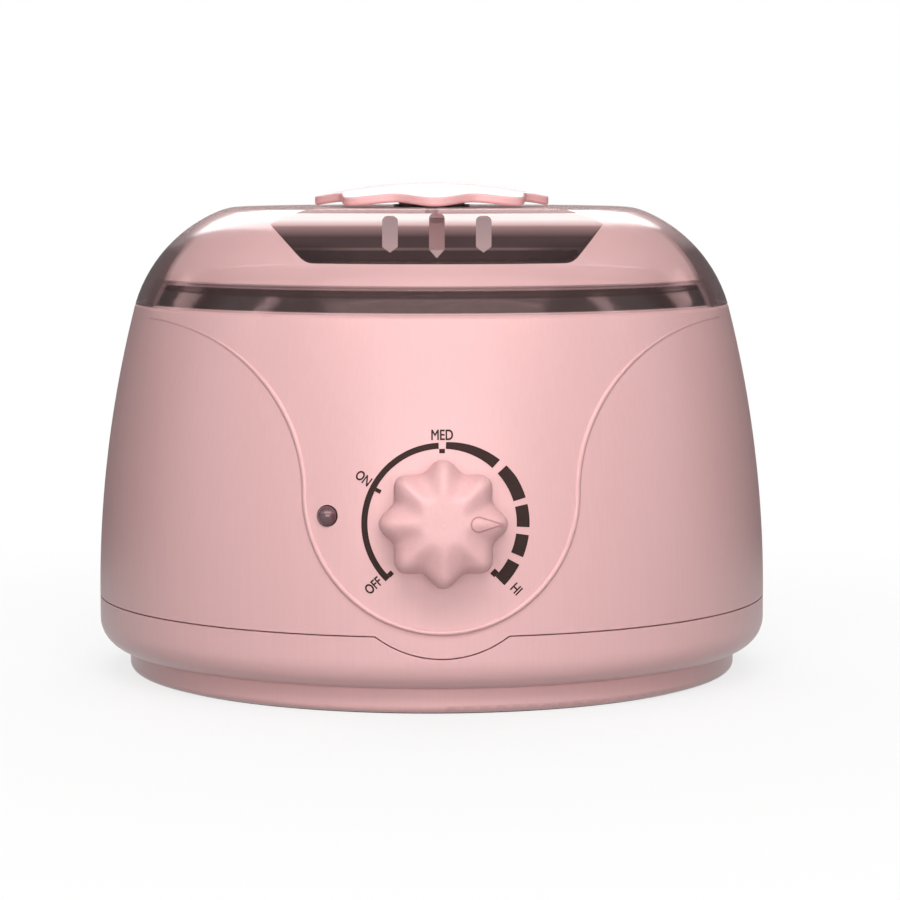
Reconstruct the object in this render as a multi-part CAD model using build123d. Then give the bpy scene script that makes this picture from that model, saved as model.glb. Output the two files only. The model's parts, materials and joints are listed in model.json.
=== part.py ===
from build123d import *

import os
from math import asin, cos, pi, radians, sin, sqrt, tan

# Round housing, in millimetres, with +Z up, the front towards -Y and the table at height 0
body_radius = 90.0
side_bulge_radius = 308.0
seam_height = 20.6
rim_height = 99.0
rim_chamfer = 0.4
housing_wall = 2.5
seam_gap = 0.35
lip_height = 3.0
lip_thickness = 1.4

# Clearances: pieces that slip together, pieces that fit snugly and pieces that turn
slip_clearance = 0.2
snug_clearance = 0.05
pivot_clearance = 0.06
loose_clearance = 0.6

# Base tray: a foot set in under a rounded tub, with a rubber ring to stand on
floor_height = 0.4
step_height = 6.8
foot_inset = 8.0
tub_corner_radius = 7.8
foot_edge_radius = 2.0
rubber_inset = 3.0
rubber_width = 5.0
rubber_depth = 0.8

# Tongue at the front, where the upper housing dips into the base
tongue_half_width = 16.0
tongue_depth = 5.1

# Raised front panel: a round bowl below and two flares above, fading towards the rim
panel_raise = 0.8
panel_fade = 0.15
panel_radius = 34.5
panel_lift = 0.2
panel_flare_radius = 40.0
panel_edge_round = 0.7

# Screw posts that hold the base to the upper housing
post_inset = 15.0
post_radius = 5.0
post_count = 4
post_first_bearing = 45.0
post_length = 17.0
post_rib = 3.0
base_screw_radius = 1.5
base_screw_bite = 12.0
screw_head_radius = 2.9
screw_head_height = 2.0
screw_seat_depth = 8.0

# Heating bowl, its collar and the ledge of the housing that they stand on
ledge_drop = 0.5
ledge_thickness = 2.5
bowl_gauge = 1.0
collar_height = 7.3
collar_seat_height = 3.4
collar_skirt_gap = 0.6
collar_foot_width = 5.1
collar_lip_width = 2.8
collar_edge_round = 0.8
collar_screw_radius = 1.0
collar_screw_margin = 0.6
collar_screw_count = 3
collar_screw_first_bearing = 30.0
collar_screw_bite = 3.0
collar_screw_head_radius = 1.9
collar_screw_head_height = 1.4

# Wax pot with its lugs and its wire bail
pot_flange_width = 10.5
pot_gauge = 1.0
pot_depth = 55.0
pot_draft = 1.4
pot_corner_radius = 5.0
pot_side_gap = 1.5
pot_floor_gap = 1.6
bail_wire_radius = 1.5
bail_bend_radius = 2.4
bail_leg_length = 4.0
bail_leg_inset = 2.4
bail_hook_reach = 0.6
bail_clearance = 0.4
lug_thickness = 1.5
lug_gauge = 1.0
lug_width = 10.0
lug_round = 3.3
lug_foot_width = 5.0
lug_foot_length = 5.2
lug_edge = 0.7
lug_crown = 1.6
rivet_radius = 1.0
rivet_head_radius = 1.3
rivet_head_height = 0.4

# Heater under the bowl
heater_inset = 7.0
heater_thickness = 2.5
press_plate_margin = 2.0
press_plate_thickness = 1.2
stud_radius = 2.5
stud_length = 10.0
stud_nut_height = 4.0
stud_nut_flats = 8.0
heater_tab_spread = 20.0
heater_tab_forward = 28.0
tab_width = 6.3
tab_thickness = 0.8
tab_length = 9.0
fuse_radius = 2.0
fuse_length = 12.0
fuse_lead_radius = 0.5
fuse_rear_lead = 6.0
clip_thickness = 0.6
clip_width = 5.0
clip_foot_length = 4.0

# Temperature control, in a frame square to the front panel
dial_height = 48.7
thermostat_seat = 5.2
thermostat_width = 26.0
thermostat_depth = 13.0
thermostat_corner = 2.0
thermostat_boss_radius = 8.0
thermostat_tab_offset = 6.5
bush_radius = 4.9
bush_reach = 5.6
panel_nut_flats = 14.0
panel_nut_height = 2.8
spot_face_depth = 0.5
shaft_radius = 3.0
shaft_flat = 1.5
shaft_tail = 4.0
knob_gap = 0.9
knob_depth = 13.6
knob_radius = 15.6
knob_flute_depth = 2.5
knob_lobe_radius = 3.1
knob_lobes = 8
knob_face_radius = 6.5
knob_face_slant = 20.0
knob_face_round = 6.0
knob_edge_round = 3.5
knob_groove_start = 5.0
knob_groove_lift = 0.4
knob_groove_tilt = 11.0
knob_groove_angle = 17.0
knob_skin = 2.2
pointer_radius = 1.8
pointer_length = 7.8
pointer_inner = 6.5
pointer_line = 0.45
pointer_depth = 0.4

# Sensor bulb of the thermostat, in a tube on the bowl
bulb_radius = 2.2
bulb_length = 30.0
bulb_tube_wall = 0.8
bulb_tube_margin = 2.0
bulb_drop = 4.0
bulb_bearing = 52.0
capillary_radius = 0.8
capillary_lift = 4.0

# Indicator lamp
lamp_bearing = 18.4
lamp_height = 50.2
lamp_radius = 2.5
lamp_proud = 2.0
lamp_length = 8.6
lamp_flange = 0.45
lamp_flange_height = 1.0
lamp_holder_wall = 1.4
lead_radius = 0.35
lead_pitch = 2.54

# Mains entry at the back: gland and terminal block
gland_drop = 6.4
gland_bore = 3.2
gland_wall = 1.3
gland_flange_width = 1.6
gland_flange_thickness = 1.5
gland_spot_face = 0.8
terminal_inset = 28.0
terminal_length = 34.0
terminal_width = 12.0
terminal_block_height = 11.0
terminal_ways = 3
terminal_pitch = 10.0
terminal_screw_radius = 1.7
terminal_screw_length = 5.0
terminal_screw_proud = 0.5
wire_radius = 1.0

# Routes of the wires and of the capillary: straight tails and places on the way, chosen by hand
wire_tail = 13.0
supply_out = 12.0
supply_front = 46.0
supply_front_lift = 6.0
supply_further_out = 14.0
supply_middle = 4.0
supply_middle_lift = 4.0
supply_terminal_tail = 18.0
heater_wire_side = 4.0
heater_wire_forward = 20.0
heater_wire_lift = 7.0
return_tail = 12.0
return_sag = 1.0
return_side = 8.0
return_back = 20.0
return_fall = 15.0
return_terminal_tail = 14.0
lamp_lead_tail = 4.5
lamp_lead_drop = 4.0
lamp_lead_depth = 2.0
lamp_lead_end = 4.0
capillary_tail = 10.0
capillary_side = 14.0
capillary_forward = 12.0
capillary_sag = 2.0
capillary_drop = 11.0

# Lid: a clear dome with a recess and three steam slots at the front
lid_rise = 25.7
lid_wall = 2.2
lid_top_edge_radius = 14.4
lid_lean = 17.0
lid_shoulder_end = 68.0
recess_depth = 13.2
recess_half_width = 33.5
recess_slant = 44.0
recess_corner_radius = 5.0
recess_wall_inset = 5.8
recess_foot_radius = 1.5
recess_brow_radius = 5.0
recess_brow_lift = 0.2
slot_width = 4.0
slot_end_round = 1.4
slot_pitch = 12.0
slot_drop = 1.7
slot_height = 7.9
slot_point = 1.5
middle_slot_extra = 0.7
lid_boss_radius = 8.2
lid_boss_length = 9.4
lid_boss_wall = 3.0
boss_notch_width = 1.3
boss_notch_height = 2.6
boss_notch_offset = 4.3

# Lid knob: a domed disc with eight lobes on a short neck
lid_knob_radius = 31.5
lid_knob_flute_depth = 4.6
lid_knob_lobes = 8
lid_knob_height = 6.5
lid_knob_thickness = 2.5
lid_knob_dome_radius = 136.0
lid_knob_edge_round = 0.7
neck_radius = 8.9
washer_radius = 10.3
washer_thickness = 0.7
lid_screw_radius = 1.6
lid_screw_bite = 3.4
lid_screw_head_radius = 3.4
lid_screw_head_height = 2.2

# Cross slot of a screw, as shares of the radius of its head, and its rounded edge, of the head's height
cross_length_share = 1.3
cross_width_share = 0.25
head_edge_share = 0.33

# Share of the shorter run that a bend in a wire takes up
bend_share = 0.45

# Amount by which a cutting solid runs past the faces that it opens
overrun = 1.0

# Levels and radii of the housing and its base
low = (Align.CENTER, Align.CENTER, Align.MIN)
side_lean = asin((rim_height - seam_height) / side_bulge_radius)
rim_radius = body_radius - side_bulge_radius * (1 - cos(side_lean))
upper_bottom = seam_height + seam_gap
inner_radius = body_radius - housing_wall
foot_radius = body_radius - foot_inset
base_floor = floor_height + housing_wall
rubber_radius = foot_radius - rubber_inset
post_circle = foot_radius - post_inset
ledge_top = rim_height - ledge_drop
ledge_bottom = ledge_top - ledge_thickness

# Lid outline: one arc up the shoulder from the rim, and one over the top edge, tangent to it
lid_top = rim_height + lid_rise
lid_ceiling = lid_top - lid_wall
shoulder_start = radians(lid_lean)
shoulder_end = radians(lid_shoulder_end)
shoulder_rise = lid_rise - lid_top_edge_radius * (1 - sin(shoulder_end))
shoulder_radius = shoulder_rise / (sin(shoulder_end) - sin(shoulder_start))
shoulder_centre = (
    rim_radius - shoulder_radius * cos(shoulder_start),
    rim_height - shoulder_radius * sin(shoulder_start),
)
edge_step = shoulder_radius - lid_top_edge_radius
top_edge_centre = (
    shoulder_centre[0] + edge_step * cos(shoulder_end),
    shoulder_centre[1] + edge_step * sin(shoulder_end),
)
recess_floor = lid_top - recess_depth
recess_wall_distance = top_edge_centre[0] - recess_wall_inset


def collar_outer_radius(height):
    """Radius of the collar, inside the skirt of the lid, at a height."""
    radius = shoulder_radius - lid_wall - collar_skirt_gap
    return shoulder_centre[0] + sqrt(radius**2 - (height - shoulder_centre[1]) ** 2)


# Stack of bowl flange, collar and pot flange above the ledge, from the lid inwards
collar_seat = ledge_top + collar_seat_height
collar_top = ledge_top + collar_height
collar_well_radius = collar_outer_radius(collar_top) - collar_lip_width
pot_flange_radius = collar_well_radius - loose_clearance
pot_flange_top = collar_seat + pot_gauge
pot_radius = pot_flange_radius - pot_flange_width
pot_bottom = collar_seat - pot_depth
bowl_radius = pot_radius + pot_side_gap
bowl_outer_radius = bowl_radius + bowl_gauge
bowl_flange_radius = collar_outer_radius(ledge_top) - collar_foot_width
bowl_flange_top = ledge_top + bowl_gauge
bowl_floor = pot_bottom - pot_floor_gap
bowl_underside = bowl_floor - bowl_gauge
collar_bore = bowl_radius + slip_clearance
collar_screw_circle = bowl_flange_radius + slip_clearance + collar_screw_radius + collar_screw_margin

# Bail on its lugs
lug_offset = pot_flange_radius - lug_foot_length - lug_edge
rivet_x = pot_flange_radius - lug_edge - rivet_head_radius
lug_foot_top = pot_flange_top + lug_gauge
pivot_height = lug_foot_top + rivet_head_height + bail_clearance + bail_wire_radius
lug_top = pivot_height + bail_wire_radius + lug_crown
bail_x = lug_offset - bail_leg_inset

# Heater stack under the bowl
heater_radius = bowl_radius - pot_draft - pot_corner_radius - heater_inset
press_plate_top = bowl_underside - heater_thickness
press_plate_bottom = press_plate_top - press_plate_thickness
fuse_height = press_plate_bottom - fuse_radius - snug_clearance
fuse_front = -heater_tab_forward + tab_thickness / 2
fuse_start = -fuse_length / 2
fuse_end = fuse_length / 2
fuse_lead_end = fuse_end + fuse_rear_lead

# Depths of the temperature control along its axis, with 0 on the side of the housing
tab_depth = -thermostat_seat - thermostat_depth / 2
tab_tip = -thermostat_width / 2 - tab_length
knob_back = panel_raise + knob_gap
knob_front = knob_back + knob_depth
hub_bottom = bush_reach + knob_gap
shaft_end = knob_front - knob_skin - snug_clearance
lamp_tip = panel_raise + lamp_proud
lamp_base = lamp_tip - lamp_length
bulb_bottom = ledge_bottom - bulb_drop - bulb_length

# Mains entry
gland_height = seam_height - gland_drop
gland_outer = gland_bore + gland_wall
gland_seat = body_radius - gland_spot_face
gland_inner_end = gland_seat - housing_wall - lip_thickness - slip_clearance
terminal_back = body_radius - terminal_inset
terminal_front = terminal_back - terminal_width
terminal_top = base_floor + terminal_block_height
terminal_entry = base_floor + terminal_block_height / 2
terminal_xs = [(k - (terminal_ways - 1) / 2) * terminal_pitch for k in range(terminal_ways)]
terminal_screw_ys = (terminal_front + terminal_width / 4, terminal_back - terminal_width / 4)


def side_radius(height, inset=0.0):
    """Radius of the side at a height above the seam, moved inwards by inset."""
    reach = (side_bulge_radius - inset) ** 2 - (height - seam_height) ** 2
    return body_radius - side_bulge_radius + sqrt(reach)


def side_plane(bearing, height):
    """Plane on the side of the housing, facing outwards, at a bearing left of the front."""
    tilt = asin((height - seam_height) / side_bulge_radius)
    turn = radians(bearing)
    radius = side_radius(height)
    outward = (-sin(turn) * cos(tilt), -cos(turn) * cos(tilt), sin(tilt))
    return Plane(
        origin=(-radius * sin(turn), -radius * cos(turn), height),
        x_dir=(cos(turn), -sin(turn), 0),
        z_dir=outward,
    )


dial_plane = side_plane(0.0, dial_height)
lamp_plane = side_plane(lamp_bearing, lamp_height)


def along_y(shape, x, start, height):
    """Shape built up from 0 along Z, laid along +Y from a start point."""
    return Pos(x, start, height) * Rot(-90, 0, 0) * shape


def turned(*edges):
    """Solid of revolution about Z from edges drawn as radius and height."""
    return revolve(Plane.XZ * make_face(list(edges)), axis=Axis.Z)


def turned_polygon(*points):
    """Solid of revolution about Z from corner points."""
    return turned(Polyline(*points, close=True))


def rod(radius, bottom, top):
    """Upright cylinder between two heights."""
    return Pos(0, 0, bottom) * Cylinder(radius, top - bottom, align=low)


def tube(outer, inner, bottom, top):
    """Upright ring between two heights."""
    return rod(outer, bottom, top) - rod(inner, bottom, top)


def block(length, width, bottom, top):
    """Upright box on the axis between two heights."""
    return Pos(0, 0, bottom) * Box(length, width, top - bottom, align=low)


def hexagon(flats, bore, bottom, top):
    """Hexagon nut between two heights."""
    face = RegularPolygon(flats / 2, 6, major_radius=False)
    return Pos(0, 0, bottom) * extrude(face, amount=top - bottom) - rod(bore, bottom, top)


def screw(shank_radius, shank_length, head_radius, head_height):
    """Pan-head screw with a cross slot: the shank runs up from 0, the head hangs below."""
    head = rod(head_radius, -head_height, 0)
    head = chamfer(head.edges().group_by(Axis.Z)[0], head_height * head_edge_share)
    slot = Box(head_radius * cross_length_share, head_radius * cross_width_share, head_height)
    cross = slot + Rot(0, 0, 90) * slot
    return head + rod(shank_radius, 0, shank_length) - Pos(0, 0, -head_height) * cross


def ring_places(radius, count, first):
    """Places spaced evenly on a circle about the axis."""
    return [Rot(0, 0, first + 360 * k / count) * Pos(radius, 0, 0) for k in range(count)]


def collar_screw_places():
    """Places of the screws that hold the collar to the ledge."""
    return ring_places(collar_screw_circle, collar_screw_count, collar_screw_first_bearing)


def scallop(outer, depth, lobes):
    """Face with round lobes, as a wave about its mean radius."""
    mean = outer - depth / 2
    steps = lobes * 4
    points = []
    for k in range(steps):
        angle = 2 * pi * k / steps
        radius = mean + depth / 2 * cos(lobes * angle)
        points.append((radius * cos(angle), radius * sin(angle)))
    return make_face(Spline(*points, periodic=True))


def lead(points, radius):
    """Round wire along straight runs joined by the largest arcs that the runs allow."""
    points = [Vector(p) for p in points]
    radii = []
    for before, here, after in zip(points, points[1:], points[2:]):
        turn = radians((here - before).get_angle(after - here))
        shorter = min((here - before).length, (after - here).length)
        radii.append(bend_share * shorter / tan(turn / 2))
    path = FilletPolyline(*points, radius=radii)
    section = Plane(origin=path @ 0, z_dir=path % 0) * Circle(radius)
    return sweep(section, path=path)


def side_solid(inset, bottom, top):
    """Solid inside the side of the housing between two heights above the seam."""
    middle = (bottom + top) / 2
    low_point = (side_radius(bottom, inset), bottom)
    high_point = (side_radius(top, inset), top)
    return turned(
        Line((0, bottom), low_point),
        ThreePointArc(low_point, (side_radius(middle, inset), middle), high_point),
        Line(high_point, (0, top)),
        Line((0, top), (0, bottom)),
    )


def tongue_prism(growth):
    """Round bar along Y whose lower edge is the tongue's outline."""
    radius = (tongue_half_width**2 + tongue_depth**2) / (2 * tongue_depth)
    centre = seam_height - tongue_depth + radius
    outline = Plane.XZ * Pos(0, centre) * Circle(radius + growth)
    return extrude(outline, amount=body_radius * 2)


def raised_panel():
    """Front panel: a thin layer on the side, within the bowl and the flares of its outline."""
    middle_height = (seam_height + rim_height) / 2
    middle = side_radius(middle_height) + (panel_raise + panel_fade) / 2
    start = (body_radius + panel_raise, seam_height)
    end = (rim_radius + panel_fade, rim_height)
    layer = turned(
        Line((0, seam_height), start),
        ThreePointArc(start, (middle, middle_height), end),
        Line(end, (0, rim_height)),
        Line((0, rim_height), (0, seam_height)),
    )
    layer -= side_solid(housing_wall / 2, seam_height - overrun, rim_height + overrun)
    waist = upper_bottom + panel_lift + panel_radius
    flare_centre = panel_radius + panel_flare_radius
    flare_end = (flare_centre, waist + panel_flare_radius)
    flare_middle = (
        flare_centre - panel_flare_radius * cos(pi / 4),
        waist + panel_flare_radius * sin(pi / 4),
    )
    mirrored_middle = (-flare_middle[0], flare_middle[1])
    mirrored_end = (-flare_end[0], flare_end[1])
    above = rim_height + panel_flare_radius
    outline = make_face(
        [
            ThreePointArc((-panel_radius, waist), (0, waist - panel_radius), (panel_radius, waist)),
            ThreePointArc((panel_radius, waist), flare_middle, flare_end),
            Polyline(flare_end, (flare_end[0], above), (mirrored_end[0], above), mirrored_end),
            ThreePointArc(mirrored_end, mirrored_middle, (-panel_radius, waist)),
        ]
    )
    panel = layer & extrude(Plane.XZ * outline, amount=body_radius * 2)
    face = panel.faces().sort_by(lambda f: f.center().Y)[0]
    edges = face.edges().filter_by(lambda e: e.center().Z < rim_height - panel_edge_round)
    return fillet(edges, panel_edge_round)


def make_upper_housing():
    """Shell with its ledge, tongue, front panel, posts and the openings of the controls."""
    shell = side_solid(0, upper_bottom, rim_height)
    shell -= side_solid(housing_wall, seam_height, ledge_bottom)
    shell -= rod(bowl_outer_radius + slip_clearance, ledge_bottom - overrun, rim_height + overrun)
    shell -= rod(rim_radius - housing_wall, ledge_top, rim_height + overrun)
    tongue = tube(body_radius, inner_radius, seam_height - tongue_depth - overrun, upper_bottom)
    shell += tongue & tongue_prism(0)
    shell += raised_panel()
    shell -= turned_polygon(
        (rim_radius - rim_chamfer, rim_height),
        (rim_radius + housing_wall, rim_height),
        (rim_radius + housing_wall, rim_height - rim_chamfer - housing_wall),
    )
    rib_bottom = upper_bottom + lip_height + slip_clearance
    post_top = upper_bottom + post_length
    inside = side_solid(housing_wall / 2, seam_height, rim_height)
    rib_reach = body_radius - post_circle
    rib = Pos(rib_reach / 2, 0, 0) * block(rib_reach, post_rib, rib_bottom, post_top)
    pilot = rod(base_screw_radius, upper_bottom - overrun, upper_bottom + base_screw_bite + slip_clearance)
    for place in ring_places(post_circle, post_count, post_first_bearing):
        shell += place * rod(post_radius, upper_bottom, post_top)
        shell += (place * rib) & inside
        shell -= place * pilot
    screw_hole = rod(collar_screw_radius + slip_clearance, ledge_bottom - overrun, ledge_top + overrun)
    for place in collar_screw_places():
        shell -= place * screw_hole
    shell += dial_plane.location * rod(thermostat_boss_radius, -thermostat_seat, -housing_wall / 2)
    bush_hole = rod(bush_radius + slip_clearance, -thermostat_seat - overrun, panel_raise + overrun)
    shell -= dial_plane.location * bush_hole
    spot_radius = panel_nut_flats / sqrt(3) + loose_clearance
    shell -= dial_plane.location * rod(spot_radius, panel_raise - spot_face_depth, panel_raise + overrun)
    lamp_hole = rod(lamp_radius + slip_clearance, -housing_wall - overrun, panel_raise + overrun)
    shell -= lamp_plane.location * lamp_hole
    return shell


def make_base_tray():
    """Tray with the stepped foot, the lip inside the seam and the posts that stand on its floor."""
    corner = tub_corner_radius
    corner_centre = body_radius - corner
    turn_45 = corner * (1 - cos(pi / 4))
    edge_45 = foot_edge_radius * (1 - cos(pi / 4))
    outer = turned(
        Line((0, floor_height), (foot_radius - foot_edge_radius, floor_height)),
        ThreePointArc(
            (foot_radius - foot_edge_radius, floor_height),
            (foot_radius - edge_45, floor_height + edge_45),
            (foot_radius, floor_height + foot_edge_radius),
        ),
        Polyline(
            (foot_radius, floor_height + foot_edge_radius),
            (foot_radius, step_height),
            (corner_centre, step_height),
        ),
        ThreePointArc(
            (corner_centre, step_height),
            (body_radius - turn_45, step_height + turn_45),
            (body_radius, step_height + corner),
        ),
        Polyline(
            (body_radius, step_height + corner),
            (body_radius, seam_height),
            (0, seam_height),
            (0, floor_height),
        ),
    )
    inner_corner = corner - housing_wall
    inner_turn = inner_corner * (1 - cos(pi / 4))
    inner_step = step_height + housing_wall
    inner_foot = foot_radius - housing_wall
    inner = turned(
        Polyline(
            (0, base_floor),
            (inner_foot, base_floor),
            (inner_foot, inner_step),
            (corner_centre, inner_step),
        ),
        ThreePointArc(
            (corner_centre, inner_step),
            (inner_radius - inner_turn, inner_step + inner_turn),
            (inner_radius, step_height + corner),
        ),
        Polyline(
            (inner_radius, step_height + corner),
            (inner_radius, seam_height + overrun),
            (0, seam_height + overrun),
            (0, base_floor),
        ),
    )
    tray = outer - inner
    lip_bottom = seam_height - tongue_depth - lip_height
    lip_inner = inner_radius - lip_thickness
    lip_outer = inner_radius - slip_clearance
    tray += tube(inner_radius + housing_wall / 2, lip_inner, lip_bottom, seam_height) & outer
    tray += tube(lip_outer, lip_inner, seam_height - overrun, seam_height + lip_height)
    tray -= tongue_prism(seam_gap) - rod(lip_outer, 0, rim_height)
    for place in ring_places(post_circle, post_count, post_first_bearing):
        tray += place * rod(post_radius, floor_height, upper_bottom - slip_clearance)
        tray -= place * rod(screw_head_radius + slip_clearance, 0, floor_height + screw_seat_depth)
        tray -= place * rod(base_screw_radius + slip_clearance, 0, upper_bottom)
    tray -= tube(rubber_radius, rubber_radius - rubber_width, 0, floor_height + rubber_depth)
    gland_hole = gland_outer + snug_clearance
    tray -= along_y(rod(gland_hole, 0, body_radius), 0, gland_inner_end - overrun, gland_height)
    spot = gland_outer + gland_flange_width + slip_clearance
    tray -= along_y(rod(spot, 0, body_radius), 0, gland_seat, gland_height)
    return tray


def make_rubber_ring():
    """Anti-slip ring in the groove under the base, which the warmer stands on."""
    return tube(
        rubber_radius - snug_clearance,
        rubber_radius - rubber_width + snug_clearance,
        0,
        floor_height + rubber_depth,
    )


def make_base_screws():
    """Screws that go up through the base into the posts of the upper housing."""
    seat = floor_height + screw_seat_depth
    length = upper_bottom + base_screw_bite - seat
    body = screw(base_screw_radius - snug_clearance, length, screw_head_radius, screw_head_height)
    places = ring_places(post_circle, post_count, post_first_bearing)
    return [place * Pos(0, 0, seat) * body for place in places]


def cup(radius, draft, floor, top, corner):
    """Solid drafted cup from its floor up to a height, with a rounded bottom corner."""
    foot = radius - draft
    bend = corner * (1 - cos(pi / 4))
    return turned(
        Line((0, floor), (foot - corner, floor)),
        ThreePointArc((foot - corner, floor), (foot - bend, floor + bend), (foot, floor + corner)),
        Polyline((foot, floor + corner), (radius, top), (0, top), (0, floor)),
    )


def make_heating_bowl():
    """Spun aluminium bowl that hangs by its flange between the ledge and the collar."""
    outer_corner = pot_corner_radius + bowl_gauge
    bowl = cup(bowl_outer_radius, pot_draft, bowl_underside, bowl_flange_top, outer_corner)
    bowl += rod(bowl_flange_radius, ledge_top, bowl_flange_top)
    bowl -= cup(bowl_radius, pot_draft, bowl_floor, bowl_flange_top, pot_corner_radius)
    bowl += rod(stud_radius, press_plate_bottom - stud_length, bowl_floor - bowl_gauge / 2)
    return bowl


def make_bowl_collar():
    """Heat-proof ring that clamps the bowl, seats the pot and stands inside the lid."""
    flange_clear = bowl_flange_radius + slip_clearance
    middle = (ledge_top + collar_top) / 2
    foot = (collar_outer_radius(ledge_top), ledge_top)
    head = (collar_outer_radius(collar_top), collar_top)
    collar = turned(
        ThreePointArc(foot, (collar_outer_radius(middle), middle), head),
        Polyline(
            head,
            (collar_well_radius, collar_top),
            (collar_well_radius, collar_seat),
            (collar_bore, collar_seat),
            (collar_bore, bowl_flange_top),
            (flange_clear, bowl_flange_top),
            (flange_clear, ledge_top),
            foot,
        ),
    )
    collar = fillet(collar.edges().group_by(Axis.Z)[-1], collar_edge_round)
    pilot = rod(collar_screw_radius, ledge_top - overrun, ledge_top + collar_screw_bite + slip_clearance)
    for place in collar_screw_places():
        collar -= place * pilot
    return collar


def make_collar_screws():
    """Screws that go up through the ledge into the collar."""
    body = screw(
        collar_screw_radius - snug_clearance,
        ledge_thickness + collar_screw_bite,
        collar_screw_head_radius,
        collar_screw_head_height,
    )
    return [place * Pos(0, 0, ledge_bottom) * body for place in collar_screw_places()]


def make_heater_disc():
    """Mica heater sandwiched under the bowl."""
    return tube(heater_radius, stud_radius + slip_clearance, press_plate_top, bowl_underside)


def make_press_plate():
    """Steel plate that presses the heater to the bowl."""
    radius = heater_radius + press_plate_margin
    return tube(radius, stud_radius + slip_clearance, press_plate_bottom, press_plate_top)


def make_stud_nut():
    """Nut on the stud of the bowl."""
    nut_bottom = press_plate_bottom - stud_nut_height
    return hexagon(stud_nut_flats, stud_radius + snug_clearance, nut_bottom, press_plate_bottom)


def heater_tab_place(side):
    """Place of one heater terminal under the press plate."""
    return Pos(side * heater_tab_spread, -heater_tab_forward, press_plate_bottom)


def make_heater_tabs():
    """Two terminal tabs that hang from the heater."""
    tab = block(tab_width, tab_thickness, -tab_length, 0)
    return [heater_tab_place(side) * tab for side in (-1, 1)]


def make_thermal_fuse():
    """Thermal fuse under the press plate, its front lead welded to a heater tab."""
    x = -heater_tab_spread
    front_lead = along_y(rod(fuse_lead_radius, 0, fuse_start - fuse_front), x, fuse_front, fuse_height)
    rear_lead = along_y(rod(fuse_lead_radius, 0, fuse_rear_lead), x, fuse_end, fuse_height)
    return along_y(rod(fuse_radius, 0, fuse_length), x, fuse_start, fuse_height) + front_lead + rear_lead


def fuse_channel(radius, top):
    """Bar along Y with a round bottom about the fuse and upright sides to a height above it."""
    outline = make_face(
        [
            ThreePointArc((-radius, 0), (0, -radius), (radius, 0)),
            Polyline((radius, 0), (radius, top), (-radius, top), (-radius, 0)),
        ]
    )
    bar = extrude(Plane.XZ * outline, amount=clip_width)
    return Pos(-heater_tab_spread, clip_width / 2, fuse_height) * bar


def make_fuse_clip():
    """Strap round the fuse, with two feet on the press plate."""
    inner = fuse_radius + snug_clearance
    outer = inner + clip_thickness
    plate_gap = press_plate_bottom - fuse_height
    span = (outer + clip_foot_length) * 2
    feet = block(span, clip_width, press_plate_bottom - clip_thickness, press_plate_bottom)
    clip = fuse_channel(outer, plate_gap) + Pos(-heater_tab_spread, 0, 0) * feet
    return clip - fuse_channel(inner, plate_gap + overrun)


def make_thermostat_body():
    """Case of the thermostat behind the front panel."""
    case = block(thermostat_width, thermostat_width, -thermostat_seat - thermostat_depth, -thermostat_seat)
    case = fillet(case.edges().filter_by(Axis.Z), thermostat_corner)
    tail_end = -thermostat_seat - shaft_tail - slip_clearance
    case -= rod(shaft_radius + slip_clearance, tail_end, -thermostat_seat + overrun)
    return dial_plane.location * case


def make_thermostat_tabs():
    """Two terminal tabs under the thermostat."""
    tab = Box(tab_width, tab_length, tab_thickness, align=(Align.CENTER, Align.MIN, Align.CENTER))
    places = [Pos(side * thermostat_tab_offset, tab_tip, tab_depth) for side in (-1, 1)]
    return [dial_plane.location * place * tab for place in places]


def make_thermostat_bush():
    """Threaded bush of the thermostat, through the front panel."""
    bore = shaft_radius + pivot_clearance
    return dial_plane.location * tube(bush_radius, bore, -thermostat_seat, bush_reach)


def make_panel_nut():
    """Nut that holds the thermostat to the front panel, under the knob."""
    seat = panel_raise - spot_face_depth
    nut = hexagon(panel_nut_flats, bush_radius + snug_clearance, seat, seat + panel_nut_height)
    return dial_plane.location * nut


def shaft_flat_block(offset, bottom):
    """Block beyond the flat of the shaft, from a height up to the front of the knob."""
    return Pos(offset + shaft_radius, 0, 0) * block(shaft_radius * 2, shaft_radius * 4, bottom, knob_front)


def make_thermostat_shaft():
    """Shaft of the thermostat, with a flat for the knob."""
    shaft = rod(shaft_radius, -thermostat_seat - shaft_tail, shaft_end)
    return dial_plane.location * (shaft - shaft_flat_block(shaft_flat, hub_bottom))


def knob_outline():
    """Outline of the knob: round lobes and round hollows between them, tangent to each other."""
    half_turn = pi / knob_lobes
    lobe_centre = knob_radius - knob_lobe_radius
    valley = knob_radius - knob_flute_depth
    spread = lobe_centre**2 + valley**2 - 2 * lobe_centre * valley * cos(half_turn)
    rest = knob_lobe_radius - valley + lobe_centre * cos(half_turn)
    hollow_radius = (spread - knob_lobe_radius**2) / (2 * rest)
    share = knob_lobe_radius / (knob_lobe_radius + hollow_radius)

    def polar(radius, angle):
        return Vector(radius * cos(angle), radius * sin(angle))

    def touch(angle, side):
        lobe = polar(lobe_centre, angle)
        hollow = polar(valley + hollow_radius, angle + side * half_turn)
        return lobe + (hollow - lobe) * share

    arcs = []
    for k in range(knob_lobes):
        angle = 2 * half_turn * k
        after = touch(angle, 1)
        arcs.append(ThreePointArc(touch(angle, -1), polar(knob_radius, angle), after))
        arcs.append(ThreePointArc(after, polar(valley, angle + half_turn), touch(angle + 2 * half_turn, -1)))
    return make_face(arcs)


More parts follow.
